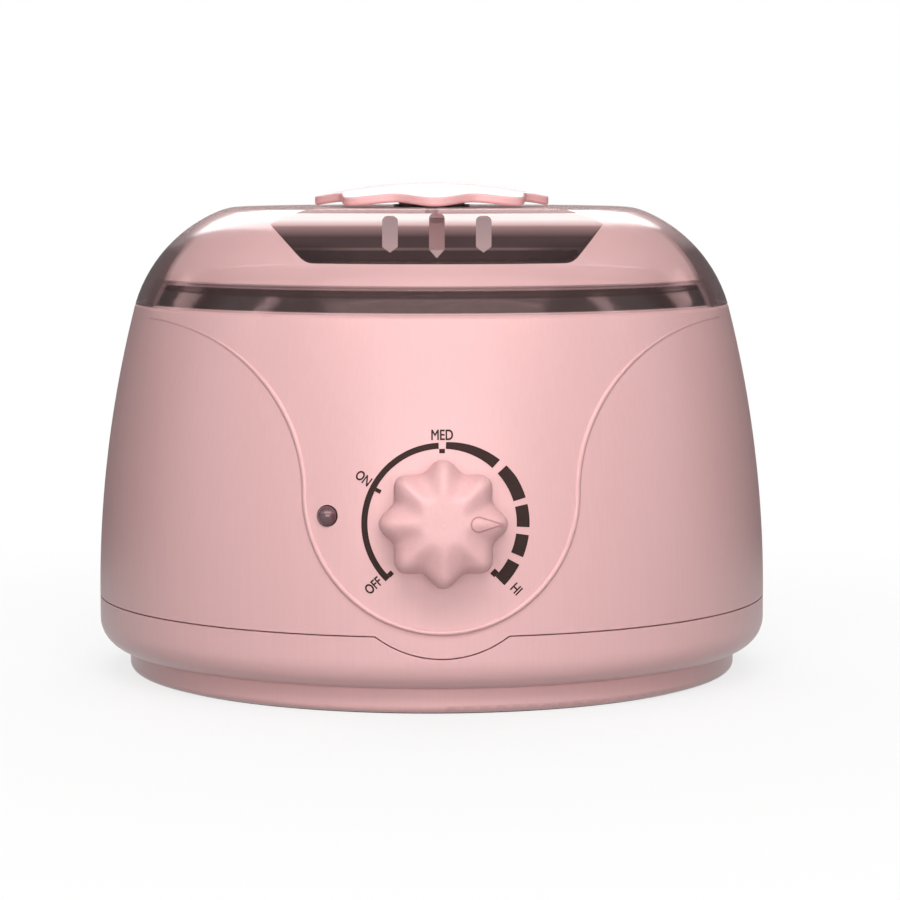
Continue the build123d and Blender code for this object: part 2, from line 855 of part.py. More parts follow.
def knob_body():
    """Solid knob: lobed sides, a face that slopes back from its middle, and grooves between the lobes."""
    wide = knob_radius + overrun
    fall = (wide - knob_face_radius) * tan(radians(knob_face_slant))
    shoulder = (wide, knob_front - fall)
    brow = (knob_face_radius, knob_front)
    foot = (wide, knob_back)
    profile = make_face(Polyline((0, knob_back), foot, shoulder, brow, (0, knob_front), close=True))
    profile = fillet(profile.vertices().sort_by_distance(shoulder)[0], knob_edge_round)
    profile = fillet(profile.vertices().sort_by_distance(brow)[0], knob_face_round)
    body = revolve(Plane.XZ * profile, Axis.Z)
    body &= Pos(0, 0, knob_back) * extrude(knob_outline(), amount=knob_depth)
    length = knob_radius * 2
    spread = length * tan(radians(knob_groove_angle))
    cone = Cone(spread, 0, length, align=(Align.CENTER, Align.CENTER, Align.MAX))
    apex = Pos(knob_groove_start, 0, knob_front + knob_groove_lift)
    groove = apex * Rot(0, knob_groove_tilt - 90, 0) * cone
    return body - [Rot(0, 0, 360 * (k + 0.5) / knob_lobes) * groove for k in range(knob_lobes)]


def teardrop(growth):
    """Outline of the pointer, round towards the middle of the knob, grown on all sides."""
    radius = pointer_radius + growth
    centre = pointer_inner + pointer_radius
    tip = centre + (pointer_length - pointer_radius) * radius / pointer_radius
    touch = radius**2 / (tip - centre)
    half = sqrt(radius**2 - touch**2)
    return make_face(
        [
            Polyline((centre + touch, half), (tip, 0), (centre + touch, -half)),
            ThreePointArc((centre + touch, -half), (centre - radius, 0), (centre + touch, half)),
        ]
    )


def make_temperature_knob():
    """Lobed knob with a pointer outlined by a fine groove."""
    knob = knob_body()
    outline = teardrop(pointer_line / 2) - teardrop(-pointer_line / 2)
    sunk = Pos(0, 0, knob_back + knob_depth / 3) * extrude(outline, amount=knob_depth)
    knob -= sunk - Pos(0, 0, -pointer_depth) * knob
    hollow_radius = knob_radius - knob_flute_depth - knob_skin
    knob -= rod(hollow_radius, knob_back - overrun, hub_bottom)
    bore = rod(shaft_radius + snug_clearance, hub_bottom - overrun, knob_front - knob_skin)
    bore -= shaft_flat_block(shaft_flat + snug_clearance, 0)
    return dial_plane.location * (knob - bore)


def bulb_place():
    """Upright axis of the sensor bulb beside the bowl."""
    reach = bowl_outer_radius + bulb_radius + bulb_tube_wall + slip_clearance
    turn = radians(bulb_bearing)
    return Pos(-reach * sin(turn), -reach * cos(turn), 0)


def make_sensor_bulb():
    """Sensor bulb of the thermostat."""
    return bulb_place() * rod(bulb_radius, bulb_bottom, bulb_bottom + bulb_length)


def make_bulb_tube():
    """Tube welded to the bowl that holds the sensor bulb."""
    inner = bulb_radius + snug_clearance
    tube_bottom = bulb_bottom + bulb_tube_margin
    tube_top = bulb_bottom + bulb_length - bulb_tube_margin
    return bulb_place() * tube(inner + bulb_tube_wall, inner, tube_bottom, tube_top)


def make_capillary():
    """Thin tube from the thermostat to its sensor bulb."""
    start = dial_plane.from_local_coords((-thermostat_width / 2, capillary_lift, tab_depth))
    foot = bulb_place().position
    points = [
        start,
        start + Vector(-capillary_tail, 0, 0),
        (foot.X + capillary_side, foot.Y - capillary_forward, start.Z - capillary_sag),
        (foot.X, foot.Y, bulb_bottom - capillary_drop),
        (foot.X, foot.Y, bulb_bottom),
    ]
    return lead(points, capillary_radius)


def make_indicator_lamp():
    """Round-topped lamp in the front panel."""
    shoulder = lamp_tip - lamp_radius
    lamp = rod(lamp_radius, lamp_base, shoulder) + Pos(0, 0, shoulder) * Sphere(lamp_radius)
    lamp += rod(lamp_radius + lamp_flange, lamp_base, lamp_base + lamp_flange_height)
    return lamp_plane.location * lamp


def make_lamp_holder():
    """Sleeve that holds the lamp behind the panel."""
    top = -housing_wall - slip_clearance
    inner = lamp_radius + snug_clearance
    bottom = lamp_base + lamp_flange_height + snug_clearance
    return lamp_plane.location * tube(inner + lamp_holder_wall, inner, bottom, top)


def make_lamp_leads():
    """Two leads from the lamp to the side of the thermostat."""
    leads = []
    end_depth = tab_depth - lamp_lead_depth
    for side in (-1, 1):
        offset = side * lead_pitch / 2
        start = lamp_plane.from_local_coords((0, offset, lamp_base))
        inward = lamp_plane.from_local_coords((0, offset, lamp_base - lamp_lead_tail))
        end = dial_plane.from_local_coords((-thermostat_width / 2, offset * 2 - lamp_lead_drop, end_depth))
        leads.append(lead([start, inward, end - Vector(lamp_lead_end, 0, 0), end], lead_radius))
    return leads


def make_cord_gland():
    """Rubber gland for the supply cord, in the back of the base."""
    sleeve = along_y(rod(gland_outer, 0, gland_seat - gland_inner_end), 0, gland_inner_end, gland_height)
    flange_disc = rod(gland_outer + gland_flange_width, 0, gland_flange_thickness)
    flange = along_y(flange_disc, 0, gland_seat, gland_height)
    bore = along_y(rod(gland_bore, 0, body_radius), 0, gland_inner_end - overrun, gland_height)
    return sleeve + flange - bore


def make_terminal_block():
    """Three-way terminal block on the floor of the base."""
    centre = (terminal_front + terminal_back) / 2
    body = Pos(0, centre, 0) * block(terminal_length, terminal_width, base_floor, terminal_top)
    for x in terminal_xs:
        for y in terminal_screw_ys:
            body -= Pos(x, y, 0) * rod(terminal_screw_radius + snug_clearance, terminal_entry, rim_height)
    return body


def make_terminal_screws():
    """Screws of the terminal block."""
    top = terminal_top + terminal_screw_proud
    body = rod(terminal_screw_radius, top - terminal_screw_length, top)
    return [Pos(x, y, 0) * body for x in terminal_xs for y in terminal_screw_ys]


def thermostat_tab_end(side, beyond=0.0):
    """Free end of one thermostat tab, or a point beyond it."""
    return dial_plane.from_local_coords((side * thermostat_tab_offset, tab_tip - beyond, tab_depth))


def make_supply_wire():
    """Wire from the terminal block to the thermostat."""
    start = thermostat_tab_end(-1)
    x = terminal_xs[0]
    points = [
        start,
        thermostat_tab_end(-1, wire_tail),
        (x - supply_out, -supply_front, base_floor + supply_front_lift),
        (x - supply_further_out, -supply_middle, base_floor + supply_middle_lift),
        (x, terminal_front - supply_terminal_tail, terminal_entry),
        (x, terminal_front, terminal_entry),
    ]
    return lead(points, wire_radius)


def make_heater_wire():
    """Wire from the thermostat to the heater."""
    start = thermostat_tab_end(1)
    end = heater_tab_place(1).position - Vector(0, 0, tab_length)
    points = [
        start,
        thermostat_tab_end(1, wire_tail),
        (end.X - heater_wire_side, end.Y - heater_wire_forward, base_floor + heater_wire_lift),
        (end.X, end.Y, (end.Z + base_floor) / 2),
        end,
    ]
    return lead(points, wire_radius)


def make_return_wire():
    """Wire from the thermal fuse back to the terminal block."""
    x = -heater_tab_spread
    points = [
        (x, fuse_lead_end, fuse_height),
        (x, fuse_lead_end + return_tail, fuse_height - return_sag),
        (-return_side, terminal_front - return_back, fuse_height - return_fall),
        (0, terminal_front - return_terminal_tail, terminal_entry),
        (0, terminal_front, terminal_entry),
    ]
    return lead(points, wire_radius)


def make_wax_pot():
    """Removable aluminium pot that hangs by its flange in the collar."""
    pot = cup(pot_radius, pot_draft, pot_bottom, pot_flange_top, pot_corner_radius)
    pot += rod(pot_flange_radius, collar_seat, pot_flange_top)
    inner_corner = pot_corner_radius - pot_gauge
    pot -= cup(pot_radius - pot_gauge, pot_draft, pot_bottom + pot_gauge, pot_flange_top, inner_corner)
    rivet_hole = rod(rivet_radius + snug_clearance, collar_seat - overrun, pot_flange_top + overrun)
    for side in (-1, 1):
        pot -= Pos(side * rivet_x, 0, 0) * rivet_hole
    return pot


def make_bail_lugs():
    """Two lugs on the flange of the pot that carry the bail."""
    plate = block(lug_thickness, lug_width, pot_flange_top, lug_top)
    plate = fillet(plate.edges().filter_by(Axis.X).group_by(Axis.Z)[-1], lug_round)
    plate = Pos(lug_offset + lug_thickness / 2, 0, 0) * plate
    foot = block(lug_foot_length, lug_foot_width, pot_flange_top, lug_foot_top)
    lug = plate + Pos(lug_offset + lug_foot_length / 2, 0, 0) * foot
    pivot_hole = rod(bail_wire_radius + pivot_clearance, 0, lug_offset * 2)
    lug -= Pos(0, 0, pivot_height) * Rot(0, 90, 0) * pivot_hole
    lug -= Pos(rivet_x, 0, 0) * rod(rivet_radius + snug_clearance, 0, lug_top)
    return [Rot(0, 0, turn) * lug for turn in (0, 180)]


def make_lug_rivets():
    """Rivets that hold the lugs to the pot."""
    body = rod(rivet_radius, collar_seat + slip_clearance, lug_foot_top)
    body += rod(rivet_head_radius, lug_foot_top, lug_foot_top + rivet_head_height)
    return [Pos(side * rivet_x, 0, 0) * body for side in (-1, 1)]


def make_pot_bail():
    """Wire bail, folded flat to the back, hooked outwards through both lugs."""
    hook_end = lug_offset + lug_thickness + bail_hook_reach
    bend = bail_bend_radius
    bend_45 = bend * (1 - cos(pi / 4))
    half_circle = bail_leg_length + bail_x
    right = [
        Line((hook_end, 0), (bail_x + bend, 0)),
        ThreePointArc((bail_x + bend, 0), (bail_x + bend_45, bend_45), (bail_x, bend)),
        Line((bail_x, bend), (bail_x, bail_leg_length)),
    ]
    left = [
        Line((-bail_x, bail_leg_length), (-bail_x, bend)),
        ThreePointArc((-bail_x, bend), (-bail_x - bend_45, bend_45), (-bail_x - bend, 0)),
        Line((-bail_x - bend, 0), (-hook_end, 0)),
    ]
    bow = ThreePointArc((bail_x, bail_leg_length), (0, half_circle), (-bail_x, bail_leg_length))
    path = Wire(right + [bow] + left)
    section = Plane(origin=path @ 0, z_dir=path % 0) * Circle(bail_wire_radius)
    return Pos(0, 0, pivot_height) * sweep(section, path=path)


def dome(inset, bottom):
    """Solid under the lid's outline, moved inwards by inset, down to a height."""
    reach = shoulder_radius - inset
    first = asin((bottom - shoulder_centre[1]) / reach)
    edge = lid_top_edge_radius - inset

    def on_shoulder(angle):
        return (shoulder_centre[0] + reach * cos(angle), shoulder_centre[1] + reach * sin(angle))

    def on_edge(angle):
        return (top_edge_centre[0] + edge * cos(angle), top_edge_centre[1] + edge * sin(angle))

    top = (top_edge_centre[0], top_edge_centre[1] + edge)
    return turned(
        ThreePointArc(on_shoulder(first), on_shoulder((first + shoulder_end) / 2), on_shoulder(shoulder_end)),
        ThreePointArc(on_shoulder(shoulder_end), on_edge((shoulder_end + pi / 2) / 2), top),
        Polyline(top, (0, top[1]), (0, bottom), on_shoulder(first)),
    )


def recess_solid(growth):
    """Space of the recess at the front of the lid, grown by the thickness of the lid's wall."""
    slant = radians(recess_slant)
    floor = recess_floor - growth
    ceiling = lid_top + recess_brow_lift - growth
    above = lid_top + recess_depth
    floor_half = recess_half_width + growth / cos(slant) - growth * tan(slant)
    top_half = floor_half + (above - floor) * tan(slant)
    corners = ((-floor_half, floor), (floor_half, floor), (top_half, above), (-top_half, above))
    front = make_face(Polyline(*corners, close=True))
    front = fillet(front.vertices().group_by(Axis.Y)[0], recess_corner_radius + growth)
    wall = -(recess_wall_distance - growth)
    foot = recess_foot_radius + growth
    brow = recess_brow_radius - growth
    foot_45 = foot * (1 - cos(pi / 4))
    brow_45 = brow * (1 - cos(pi / 4))
    outside = -body_radius * 2
    side = make_face(
        [
            Line((outside, floor), (wall - foot, floor)),
            ThreePointArc((wall - foot, floor), (wall - foot_45, floor + foot_45), (wall, floor + foot)),
            Line((wall, floor + foot), (wall, ceiling - brow)),
            ThreePointArc(
                (wall, ceiling - brow),
                (wall + brow_45, ceiling - brow_45),
                (wall + brow, ceiling),
            ),
            Polyline((wall + brow, ceiling), (wall + brow, above), (outside, above), (outside, floor)),
        ]
    )
    prism = extrude(Plane.XZ * front, amount=body_radius * 3)
    return prism & extrude(Plane.YZ * side, amount=body_radius * 3, both=True)


def steam_slot(extra):
    """Outline of a steam slot with a rounded top and a pointed foot, longer at both ends by extra."""
    side = slot_width / 2
    top = lid_top - slot_drop + extra
    bottom = lid_top - slot_drop - slot_height - extra
    tip = bottom - slot_point - extra
    corners = ((side, top), (-side, top), (-side, bottom), (0, tip), (side, bottom))
    outline = make_face(Polyline(*corners, close=True))
    return fillet(outline.vertices().group_by(Axis.Y)[-1], slot_end_round)


def make_lid_shell():
    """Clear dome with the recess, its slots and the boss under the knob."""
    shell = dome(0, rim_height) - recess_solid(0)
    shell -= dome(lid_wall, rim_height - overrun) - recess_solid(lid_wall)
    boss_bottom = lid_ceiling - lid_boss_length
    boss_bore = lid_boss_radius - lid_boss_wall
    boss = tube(lid_boss_radius, boss_bore, boss_bottom, lid_ceiling + lid_wall / 2)
    notch = block(boss_notch_width, lid_boss_radius * 3, boss_bottom, boss_bottom + boss_notch_height)
    for side in (-1, 1):
        boss -= Pos(side * boss_notch_offset, 0, 0) * notch
    shell += boss
    shell -= rod(lid_screw_radius + slip_clearance, lid_ceiling - overrun, lid_top + overrun)
    for place, extra in zip((-1, 0, 1), (0, middle_slot_extra, 0)):
        cut = extrude(Plane.XZ * steam_slot(extra), amount=lid_wall * 3)
        shell -= Pos(place * slot_pitch, -recess_wall_distance + lid_wall * 2, 0) * cut
    return shell


def make_lid_knob():
    """Domed disc with lobes, on a neck that stands on the washer."""
    top = lid_top + lid_knob_height
    outline = scallop(lid_knob_radius, lid_knob_flute_depth, lid_knob_lobes)
    disc = Pos(0, 0, lid_top) * extrude(outline, amount=lid_knob_height * 2)
    disc &= Pos(0, 0, top - lid_knob_dome_radius) * Sphere(lid_knob_dome_radius)
    disc -= Pos(0, 0, top - lid_knob_thickness - lid_knob_dome_radius) * Sphere(lid_knob_dome_radius)
    rim_edges = disc.edges().filter_by(lambda e: e.length > lid_knob_radius)
    disc = fillet(rim_edges, lid_knob_edge_round)
    neck_bottom = lid_top + washer_thickness
    knob = disc + rod(neck_radius, neck_bottom, top - lid_knob_thickness)
    return knob - rod(lid_screw_radius, lid_top, neck_bottom + lid_screw_bite + slip_clearance)


def make_lid_washer():
    """Dark washer between the knob and the lid."""
    return tube(washer_radius, lid_screw_radius + slip_clearance, lid_top, lid_top + washer_thickness)


def make_lid_screw():
    """Screw that holds the knob from inside the lid."""
    length = lid_wall + washer_thickness + lid_screw_bite
    body = screw(lid_screw_radius - snug_clearance, length, lid_screw_head_radius, lid_screw_head_height)
    return Pos(0, 0, lid_ceiling) * body


nodes = {
    "base_tray": make_base_tray(),
    "upper_housing": make_upper_housing(),
    "anti_slip_ring": make_rubber_ring(),
    "base_screws": make_base_screws(),
    "heating_bowl": make_heating_bowl(),
    "bowl_collar": make_bowl_collar(),
    "collar_screws": make_collar_screws(),
    "heater_disc": make_heater_disc(),
    "heater_press_plate": make_press_plate(),
    "heater_nut": make_stud_nut(),
    "heater_tabs": make_heater_tabs(),
    "thermal_fuse": make_thermal_fuse(),
    "fuse_clip": make_fuse_clip(),
    "thermostat_body": make_thermostat_body(),
    "thermostat_tabs": make_thermostat_tabs(),
    "thermostat_bush": make_thermostat_bush(),
    "panel_nut": make_panel_nut(),
    "thermostat_shaft": make_thermostat_shaft(),
    "temperature_knob": make_temperature_knob(),
    "sensor_bulb": make_sensor_bulb(),
    "bulb_tube": make_bulb_tube(),
    "capillary_tube": make_capillary(),
    "indicator_lamp": make_indicator_lamp(),
    "lamp_holder": make_lamp_holder(),
    "lamp_leads": make_lamp_leads(),
    "cord_gland": make_cord_gland(),
    "terminal_block": make_terminal_block(),
    "terminal_screws": make_terminal_screws(),
    "supply_wire": make_supply_wire(),
    "heater_wire": make_heater_wire(),
    "return_wire": make_return_wire(),
    "wax_pot": make_wax_pot(),
    "bail_lugs": make_bail_lugs(),
    "lug_rivets": make_lug_rivets(),
    "pot_bail": make_pot_bail(),
    "lid_shell": make_lid_shell(),
    "lid_knob": make_lid_knob(),
    "lid_knob_washer": make_lid_washer(),
    "lid_knob_screw": make_lid_screw(),
}

os.makedirs("parts", exist_ok=True)
for name, shape in nodes.items():
    solids = shape if isinstance(shape, list) else [shape]
    pieces = [solid for piece in solids for solid in piece.solids()]
    export_step(Compound(children=pieces), f"parts/{name}.step")
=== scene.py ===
import json
from math import acos, atan2, cos, hypot, pi, radians, sin, tan

import bmesh
import bpy
from mathutils import Matrix, Vector


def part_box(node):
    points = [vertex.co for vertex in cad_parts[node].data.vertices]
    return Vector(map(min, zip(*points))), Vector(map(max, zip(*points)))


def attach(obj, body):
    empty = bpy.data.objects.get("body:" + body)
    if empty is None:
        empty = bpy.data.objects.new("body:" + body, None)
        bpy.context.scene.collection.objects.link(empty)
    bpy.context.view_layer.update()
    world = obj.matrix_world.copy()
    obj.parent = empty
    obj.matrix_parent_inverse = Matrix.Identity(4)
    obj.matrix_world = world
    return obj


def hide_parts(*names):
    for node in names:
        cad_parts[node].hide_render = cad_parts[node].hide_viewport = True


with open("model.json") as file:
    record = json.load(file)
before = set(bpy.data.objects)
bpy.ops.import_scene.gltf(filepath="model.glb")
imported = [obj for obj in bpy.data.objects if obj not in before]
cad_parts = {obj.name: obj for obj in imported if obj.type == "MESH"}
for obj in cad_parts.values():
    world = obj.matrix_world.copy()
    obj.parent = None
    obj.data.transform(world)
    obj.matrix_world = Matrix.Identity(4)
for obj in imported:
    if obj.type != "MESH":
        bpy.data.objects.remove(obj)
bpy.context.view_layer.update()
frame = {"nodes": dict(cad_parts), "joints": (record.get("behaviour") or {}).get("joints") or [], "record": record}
nodes = frame["nodes"]

MM = 0.001

# Camera: distance from the axis of the housing, height, turn to the left of the front, tilt and pan
CAMERA_DISTANCE = 858.2 * MM
CAMERA_HEIGHT = 136.8 * MM
CAMERA_BEARING = 1.65
CAMERA_TILT = 5.20
CAMERA_PAN = 0.33
CAMERA_LENS = 126.7
CAMERA_SENSOR = 36.0

# Levels of the lid, above the table
LID_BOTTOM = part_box("lid_shell")[0].z
LID_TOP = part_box("lid_shell")[1].z
BAND_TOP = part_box("bowl_collar")[1].z

# Outline of the lid: centre and radius of its shoulder and of its top edge, and where they meet
SHOULDER_CENTRE = (42.72 * MM, 87.65 * MM)
SHOULDER_RADIUS = 38.83 * MM
SHOULDER_END = radians(68.0)
TOP_EDGE_CENTRE = (51.87 * MM, 110.3 * MM)
TOP_EDGE_RADIUS = 14.4 * MM

# Recess at the front of the lid
RECESS_FLOOR = 111.5 * MM
RECESS_WALL = -46.07 * MM
RECESS_HALF_WIDTH = 33.5 * MM
RECESS_SLANT = radians(44.0)
RECESS_SKIN = 1.6 * MM
SURFACE_SLACK = 0.12 * MM

# Looks of the lid: the heights over which its tones and its painted shade change, how far each part covers and how
# glossy it is
SKIRT_FADE = (BAND_TOP - 0.1 * MM, BAND_TOP + 0.5 * MM)
# Heights of a painted dark line above the skirt, standing in for the shaded top edge of the collar seen through it
BAND_SHADE_LINE = (BAND_TOP - 0.9 * MM, BAND_TOP - 0.3 * MM)
RIM_LINE = (LID_BOTTOM + 0.5 * MM, LID_BOTTOM + 0.9 * MM)
# Painted shade along the outline of the lid where its face turns from view: heights where it fades, where it
# starts and ends, its lift low down and its cover
EDGE_FADE = (113.0 * MM, 121.0 * MM)
EDGE_LOW_FADE = (BAND_TOP - 1.0 * MM, BAND_TOP + 12.0 * MM)
EDGE_START = 0.73
EDGE_END = 0.78
EDGE_LOW_LIFT = 0.1
EDGE_COVER = 0.9
DOME_COVER = 0.72
DOME_SKIRT_LOSS = 0.69
RIM_COVER = 0.6
INSIDE_COVER = 0.35
INSIDE_SKIRT_LOSS = 0.33
INSIDE_TINT_SCALE = 120.0
RECESS_COVER = 0.95
# Painted shade in the low corners of the recess: how far aside it starts and is full, and the heights over which
# it fades
CORNER_SHADE_SPAN = (20.0 * MM, 31.0 * MM)
CORNER_SHADE_FADE = (113.5 * MM, 117.0 * MM)
SCATTER_SHARE = 0.85
CLEAR_ROUGHNESS = 0.16
DOME_SPECULAR = 0.3
RECESS_SPECULAR = 0.03
INSIDE_SPECULAR = 0.05

# Looks of the other surfaces: the scale of their mottle, and the strength and depth of their relief
MOULD_MOTTLE = 1400.0
MOULD_GRAIN = 3500.0
MOULD_STRENGTH = 0.06
GLOSS_MOTTLE = 220.0
GLOSS_ROUGHNESS = 0.12
GLOSS_SPECULAR = 0.2
METAL_STRENGTH = 0.1
METAL_DEPTH = 0.02 * MM
MATT_STRENGTH = 0.15
GRAIN_DEPTH = 0.05 * MM
PRINT_MOTTLE = 2500.0
# Where the painted shade on the lamp lens starts and ends, as its face turns from view
LAMP_SHADE_START = 0.1
LAMP_SHADE_END = 0.8
LAMP_COAT = 0.3
CAD_SHARP_ANGLE = radians(28)
SCENE_SHARP_ANGLE = radians(50)

# Knob: its lobes, the fall of its face, the flutes between the lobes, the hollow behind, and the pointer with its
# painted shade line
KNOB_LOBES = 8
KNOB_FLUTE = 2.5 * MM
KNOB_EDGE_ROUND = 3.2 * MM
KNOB_FACE_START = 4.0 * MM
KNOB_FACE_END = 9.5 * MM
KNOB_FACE_SLOPE = 0.34
KNOB_GROOVE_START = 4.5 * MM
KNOB_GROOVE_END = 13.0 * MM
KNOB_GROOVE_DEPTH = 2.2 * MM
KNOB_HOLLOW_RADIUS = 10.9 * MM
KNOB_SLACK = 0.1 * MM
KNOB_TURN_STEPS = 192
KNOB_FACE_STEPS = 16
KNOB_EDGE_STEPS = 8
POINTER_INNER = 6.5 * MM
POINTER_RADIUS = 1.8 * MM
POINTER_LENGTH = 7.8 * MM
POINTER_SHADE_WIDTH = 0.42 * MM
POINTER_ARC_STEPS = 32
POINTER_SIDE_STEPS = 8

# Light of the studio
WORLD_LIGHT = 0.05
LIGHT_DISTANCE = 1.5
LIGHT_TARGET = Vector((0, 0, 0.07))
CARD_EDGE = 0.1
CARD_SOFTNESS = 0.2
CARD_SHADE = 0.85
CARD_FLOOR_FADE = 0.3
FLOOR_SIZE = 40.0
FLOOR_WHITE_NEAR = 0.78
FLOOR_NEAR = 0.08
FLOOR_FAR = 0.30

# Bead along the edge of the front panel: the arcs of the edge as seen from the front, and the bead's section
PANEL_WAIST = 55.65 * MM
PANEL_ARC_RADIUS = 34.5 * MM
PANEL_FLARE_RADIUS = 40.0 * MM
BEAD_INSET = 0.8 * MM
BEAD_WIDTH = 1.2 * MM
BEAD_HEIGHT = 0.42 * MM
BEAD_ROOT = 0.25 * MM
BEAD_STEP = 2.0
BEAD_FADE = (35.0, 78.0)
BEAD_LEAST = 0.05
BEAD_SIDES = 8

# How far in front of the housing a ray that looks for its surface starts
FRONT_START = 0.2
PANEL_START = 0.1

# Dial print on the front panel, about the axis of the knob
DIAL_INNER = 18.3 * MM
DIAL_THIN = 1.5 * MM
DIAL_THICK = 3.2 * MM
PRINT_LIFT = 0.03 * MM
PRINT_DEPTH = 0.05 * MM
DIAL_STEP = 2.0
DIAL_GROWTH_START = 92.5
DIAL_GROWTH_SPAN = 60.0
PRINT_GRID = 0.0001 * MM
WORD_CONDENSE = 0.76
WORD_WEIGHT = 0.08 * MM

dial_joint = next(j for j in frame["joints"] if j["name"] == "dial_turn")
dial_axis = Vector(dial_joint["axis"]).normalized()
dial_centre = Vector(dial_joint["pos_m"])
dial_right = Vector((1, 0, 0))
dial_up = dial_axis.cross(dial_right)


def colour(red, green, blue, alpha=1.0):
    """Linear colour from an sRGB colour of 0 to 255."""
    shares = [c / 255 for c in (red, green, blue)]
    linear = [s / 12.92 if s <= 0.04045 else ((s + 0.055) / 1.055) ** 2.4 for s in shares]
    return (*linear, alpha)


# Colours
PINK = colour(233, 185, 185)
PINK_DEEP = colour(231, 183, 183)
KNOB_PINK = colour(236, 186, 186)
KNOB_PINK_DEEP = colour(233, 182, 182)
LID_PINK = colour(234, 187, 186)
LID_PINK_DEEP = colour(229, 180, 180)
# Painted shade along the outline of the lid and in the line above its skirt
LID_EDGE_PAINTED_SHADE = colour(112, 82, 84)
# Tones of the recess walls by height, all painted light: dark low as a painted dark reflection, a painted light
# line, and a pale painted highlight on the brow
RECESS_PAINTED_LIGHT_TONES = (
    (0.00, colour(50, 36, 36)),
    (0.19, colour(52, 38, 38)),
    (0.23, colour(118, 94, 94)),
    (0.27, colour(66, 50, 51)),
    (0.46, colour(66, 50, 52)),
    (0.66, colour(158, 126, 126)),
    (0.70, colour(222, 186, 184)),
    (0.80, colour(251, 240, 238)),
    (1.00, colour(252, 243, 241)),
)
# Painted shade in the low corners of the recess
RECESS_CORNER_PAINTED_SHADE = colour(30, 19, 19)
COLLAR_BROWN = colour(36, 27, 26)
COLLAR_BROWN_LIGHT = colour(42, 32, 31)
PRINT_BROWN = colour(60, 46, 43)
PRINT_BROWN_DEEP = colour(53, 41, 38)
# Painted shade of an engraved groove round the pointer of the knob
POINTER_SHADE_PINK = colour(204, 152, 154)
POINTER_SHADE_PINK_DEEP = colour(196, 145, 147)
RUBBER_BLACK = colour(34, 33, 33)
RUBBER_GREY = colour(44, 43, 43)
LAMP_MIDDLE = colour(104, 70, 77)
# Painted shade at the rim of the lamp lens
LAMP_RIM_PAINTED_SHADE = colour(46, 30, 34)
FLOOR_GREY = colour(150, 150, 150)
FLOOR_PALE = colour(246, 246, 246)
WHITE = (1.0, 1.0, 1.0, 1.0)
SHEEN_PINK = (1.0, 0.62, 0.62)


def new_material(name):
    """Material with a Principled shader, and its nodes, links and shader."""
    material = bpy.data.materials.new(name)
    material.use_nodes = True
    tree = material.node_tree
    return material, tree, tree.nodes["Principled BSDF"]


def object_noise(tree, scale, stretch=(1, 1, 1), detail=3.0):
    """Noise over the object's own place, in metres."""
    place = tree.nodes.new("ShaderNodeTexCoord")
    mapping = tree.nodes.new("ShaderNodeMapping")
    mapping.inputs["Scale"].default_value = stretch
    noise = tree.nodes.new("ShaderNodeTexNoise")
    noise.inputs["Scale"].default_value = scale
    noise.inputs["Detail"].default_value = detail
    tree.links.new(place.outputs["Object"], mapping.inputs["Vector"])
    tree.links.new(mapping.outputs["Vector"], noise.inputs["Vector"])
    return noise.outputs["Fac"]


def tone_ramp(tree, factor, first, last, start=0.35, end=0.65):
    """Colour that goes from one tone to another with a factor."""
    ramp = tree.nodes.new("ShaderNodeValToRGB")
    ramp.color_ramp.elements[0].position = start
    ramp.color_ramp.elements[0].color = first
    ramp.color_ramp.elements[1].position = end
    ramp.color_ramp.elements[1].color = last
    tree.links.new(factor, ramp.inputs["Fac"])
    return ramp.outputs["Color"]


def add_bump(tree, shader, height, strength, distance):
    """Fine relief on a surface."""
    bump = tree.nodes.new("ShaderNodeBump")
    bump.inputs["Strength"].default_value = strength
    bump.inputs["Distance"].default_value = distance
    tree.links.new(height, bump.inputs["Height"])
    tree.links.new(bump.outputs["Normal"], shader.inputs["Normal"])


def moulded_plastic(name, light, deep, stretch, roughness, specular):
    """Satin moulded plastic with a faint mottle, drawn out along the flow of the mould, and a fine grain."""
    material, tree, shader = new_material(name)
    mottle = object_noise(tree, MOULD_MOTTLE, stretch)
    tree.links.new(tone_ramp(tree, mottle, deep, light), shader.inputs["Base Color"])
    grain = object_noise(tree, MOULD_GRAIN)
    add_bump(tree, shader, grain, MOULD_STRENGTH, GRAIN_DEPTH)
    shader.inputs["Roughness"].default_value = roughness
    shader.inputs["Specular IOR Level"].default_value = specular
    return material


def glossy_plastic(name, light, deep):
    """Polished dark plastic with a slight mottle."""
    material, tree, shader = new_material(name)
    mottle = object_noise(tree, GLOSS_MOTTLE)
    tree.links.new(tone_ramp(tree, mottle, deep, light), shader.inputs["Base Color"])
    shader.inputs["Roughness"].default_value = GLOSS_ROUGHNESS
    shader.inputs["Specular IOR Level"].default_value = GLOSS_SPECULAR
    return material


def metal(name, light, deep, roughness, stretch=(1, 1, 1), scale=900.0):
    """Bare metal with fine working marks."""
    material, tree, shader = new_material(name)
    marks = object_noise(tree, scale, stretch)
    tree.links.new(tone_ramp(tree, marks, deep, light), shader.inputs["Base Color"])
    add_bump(tree, shader, marks, METAL_STRENGTH, METAL_DEPTH)
    shader.inputs["Metallic"].default_value = 1.0
    shader.inputs["Roughness"].default_value = roughness
    return material


def matt(name, light, deep, roughness=0.75, scale=1500.0, specular=0.5):
    """Matt moulding, rubber or print with a fine mottle and grain."""
    material, tree, shader = new_material(name)
    mottle = object_noise(tree, scale)
    tree.links.new(tone_ramp(tree, mottle, deep, light), shader.inputs["Base Color"])
    add_bump(tree, shader, mottle, MATT_STRENGTH, GRAIN_DEPTH)
    shader.inputs["Roughness"].default_value = roughness
    shader.inputs["Specular IOR Level"].default_value = specular
    return material


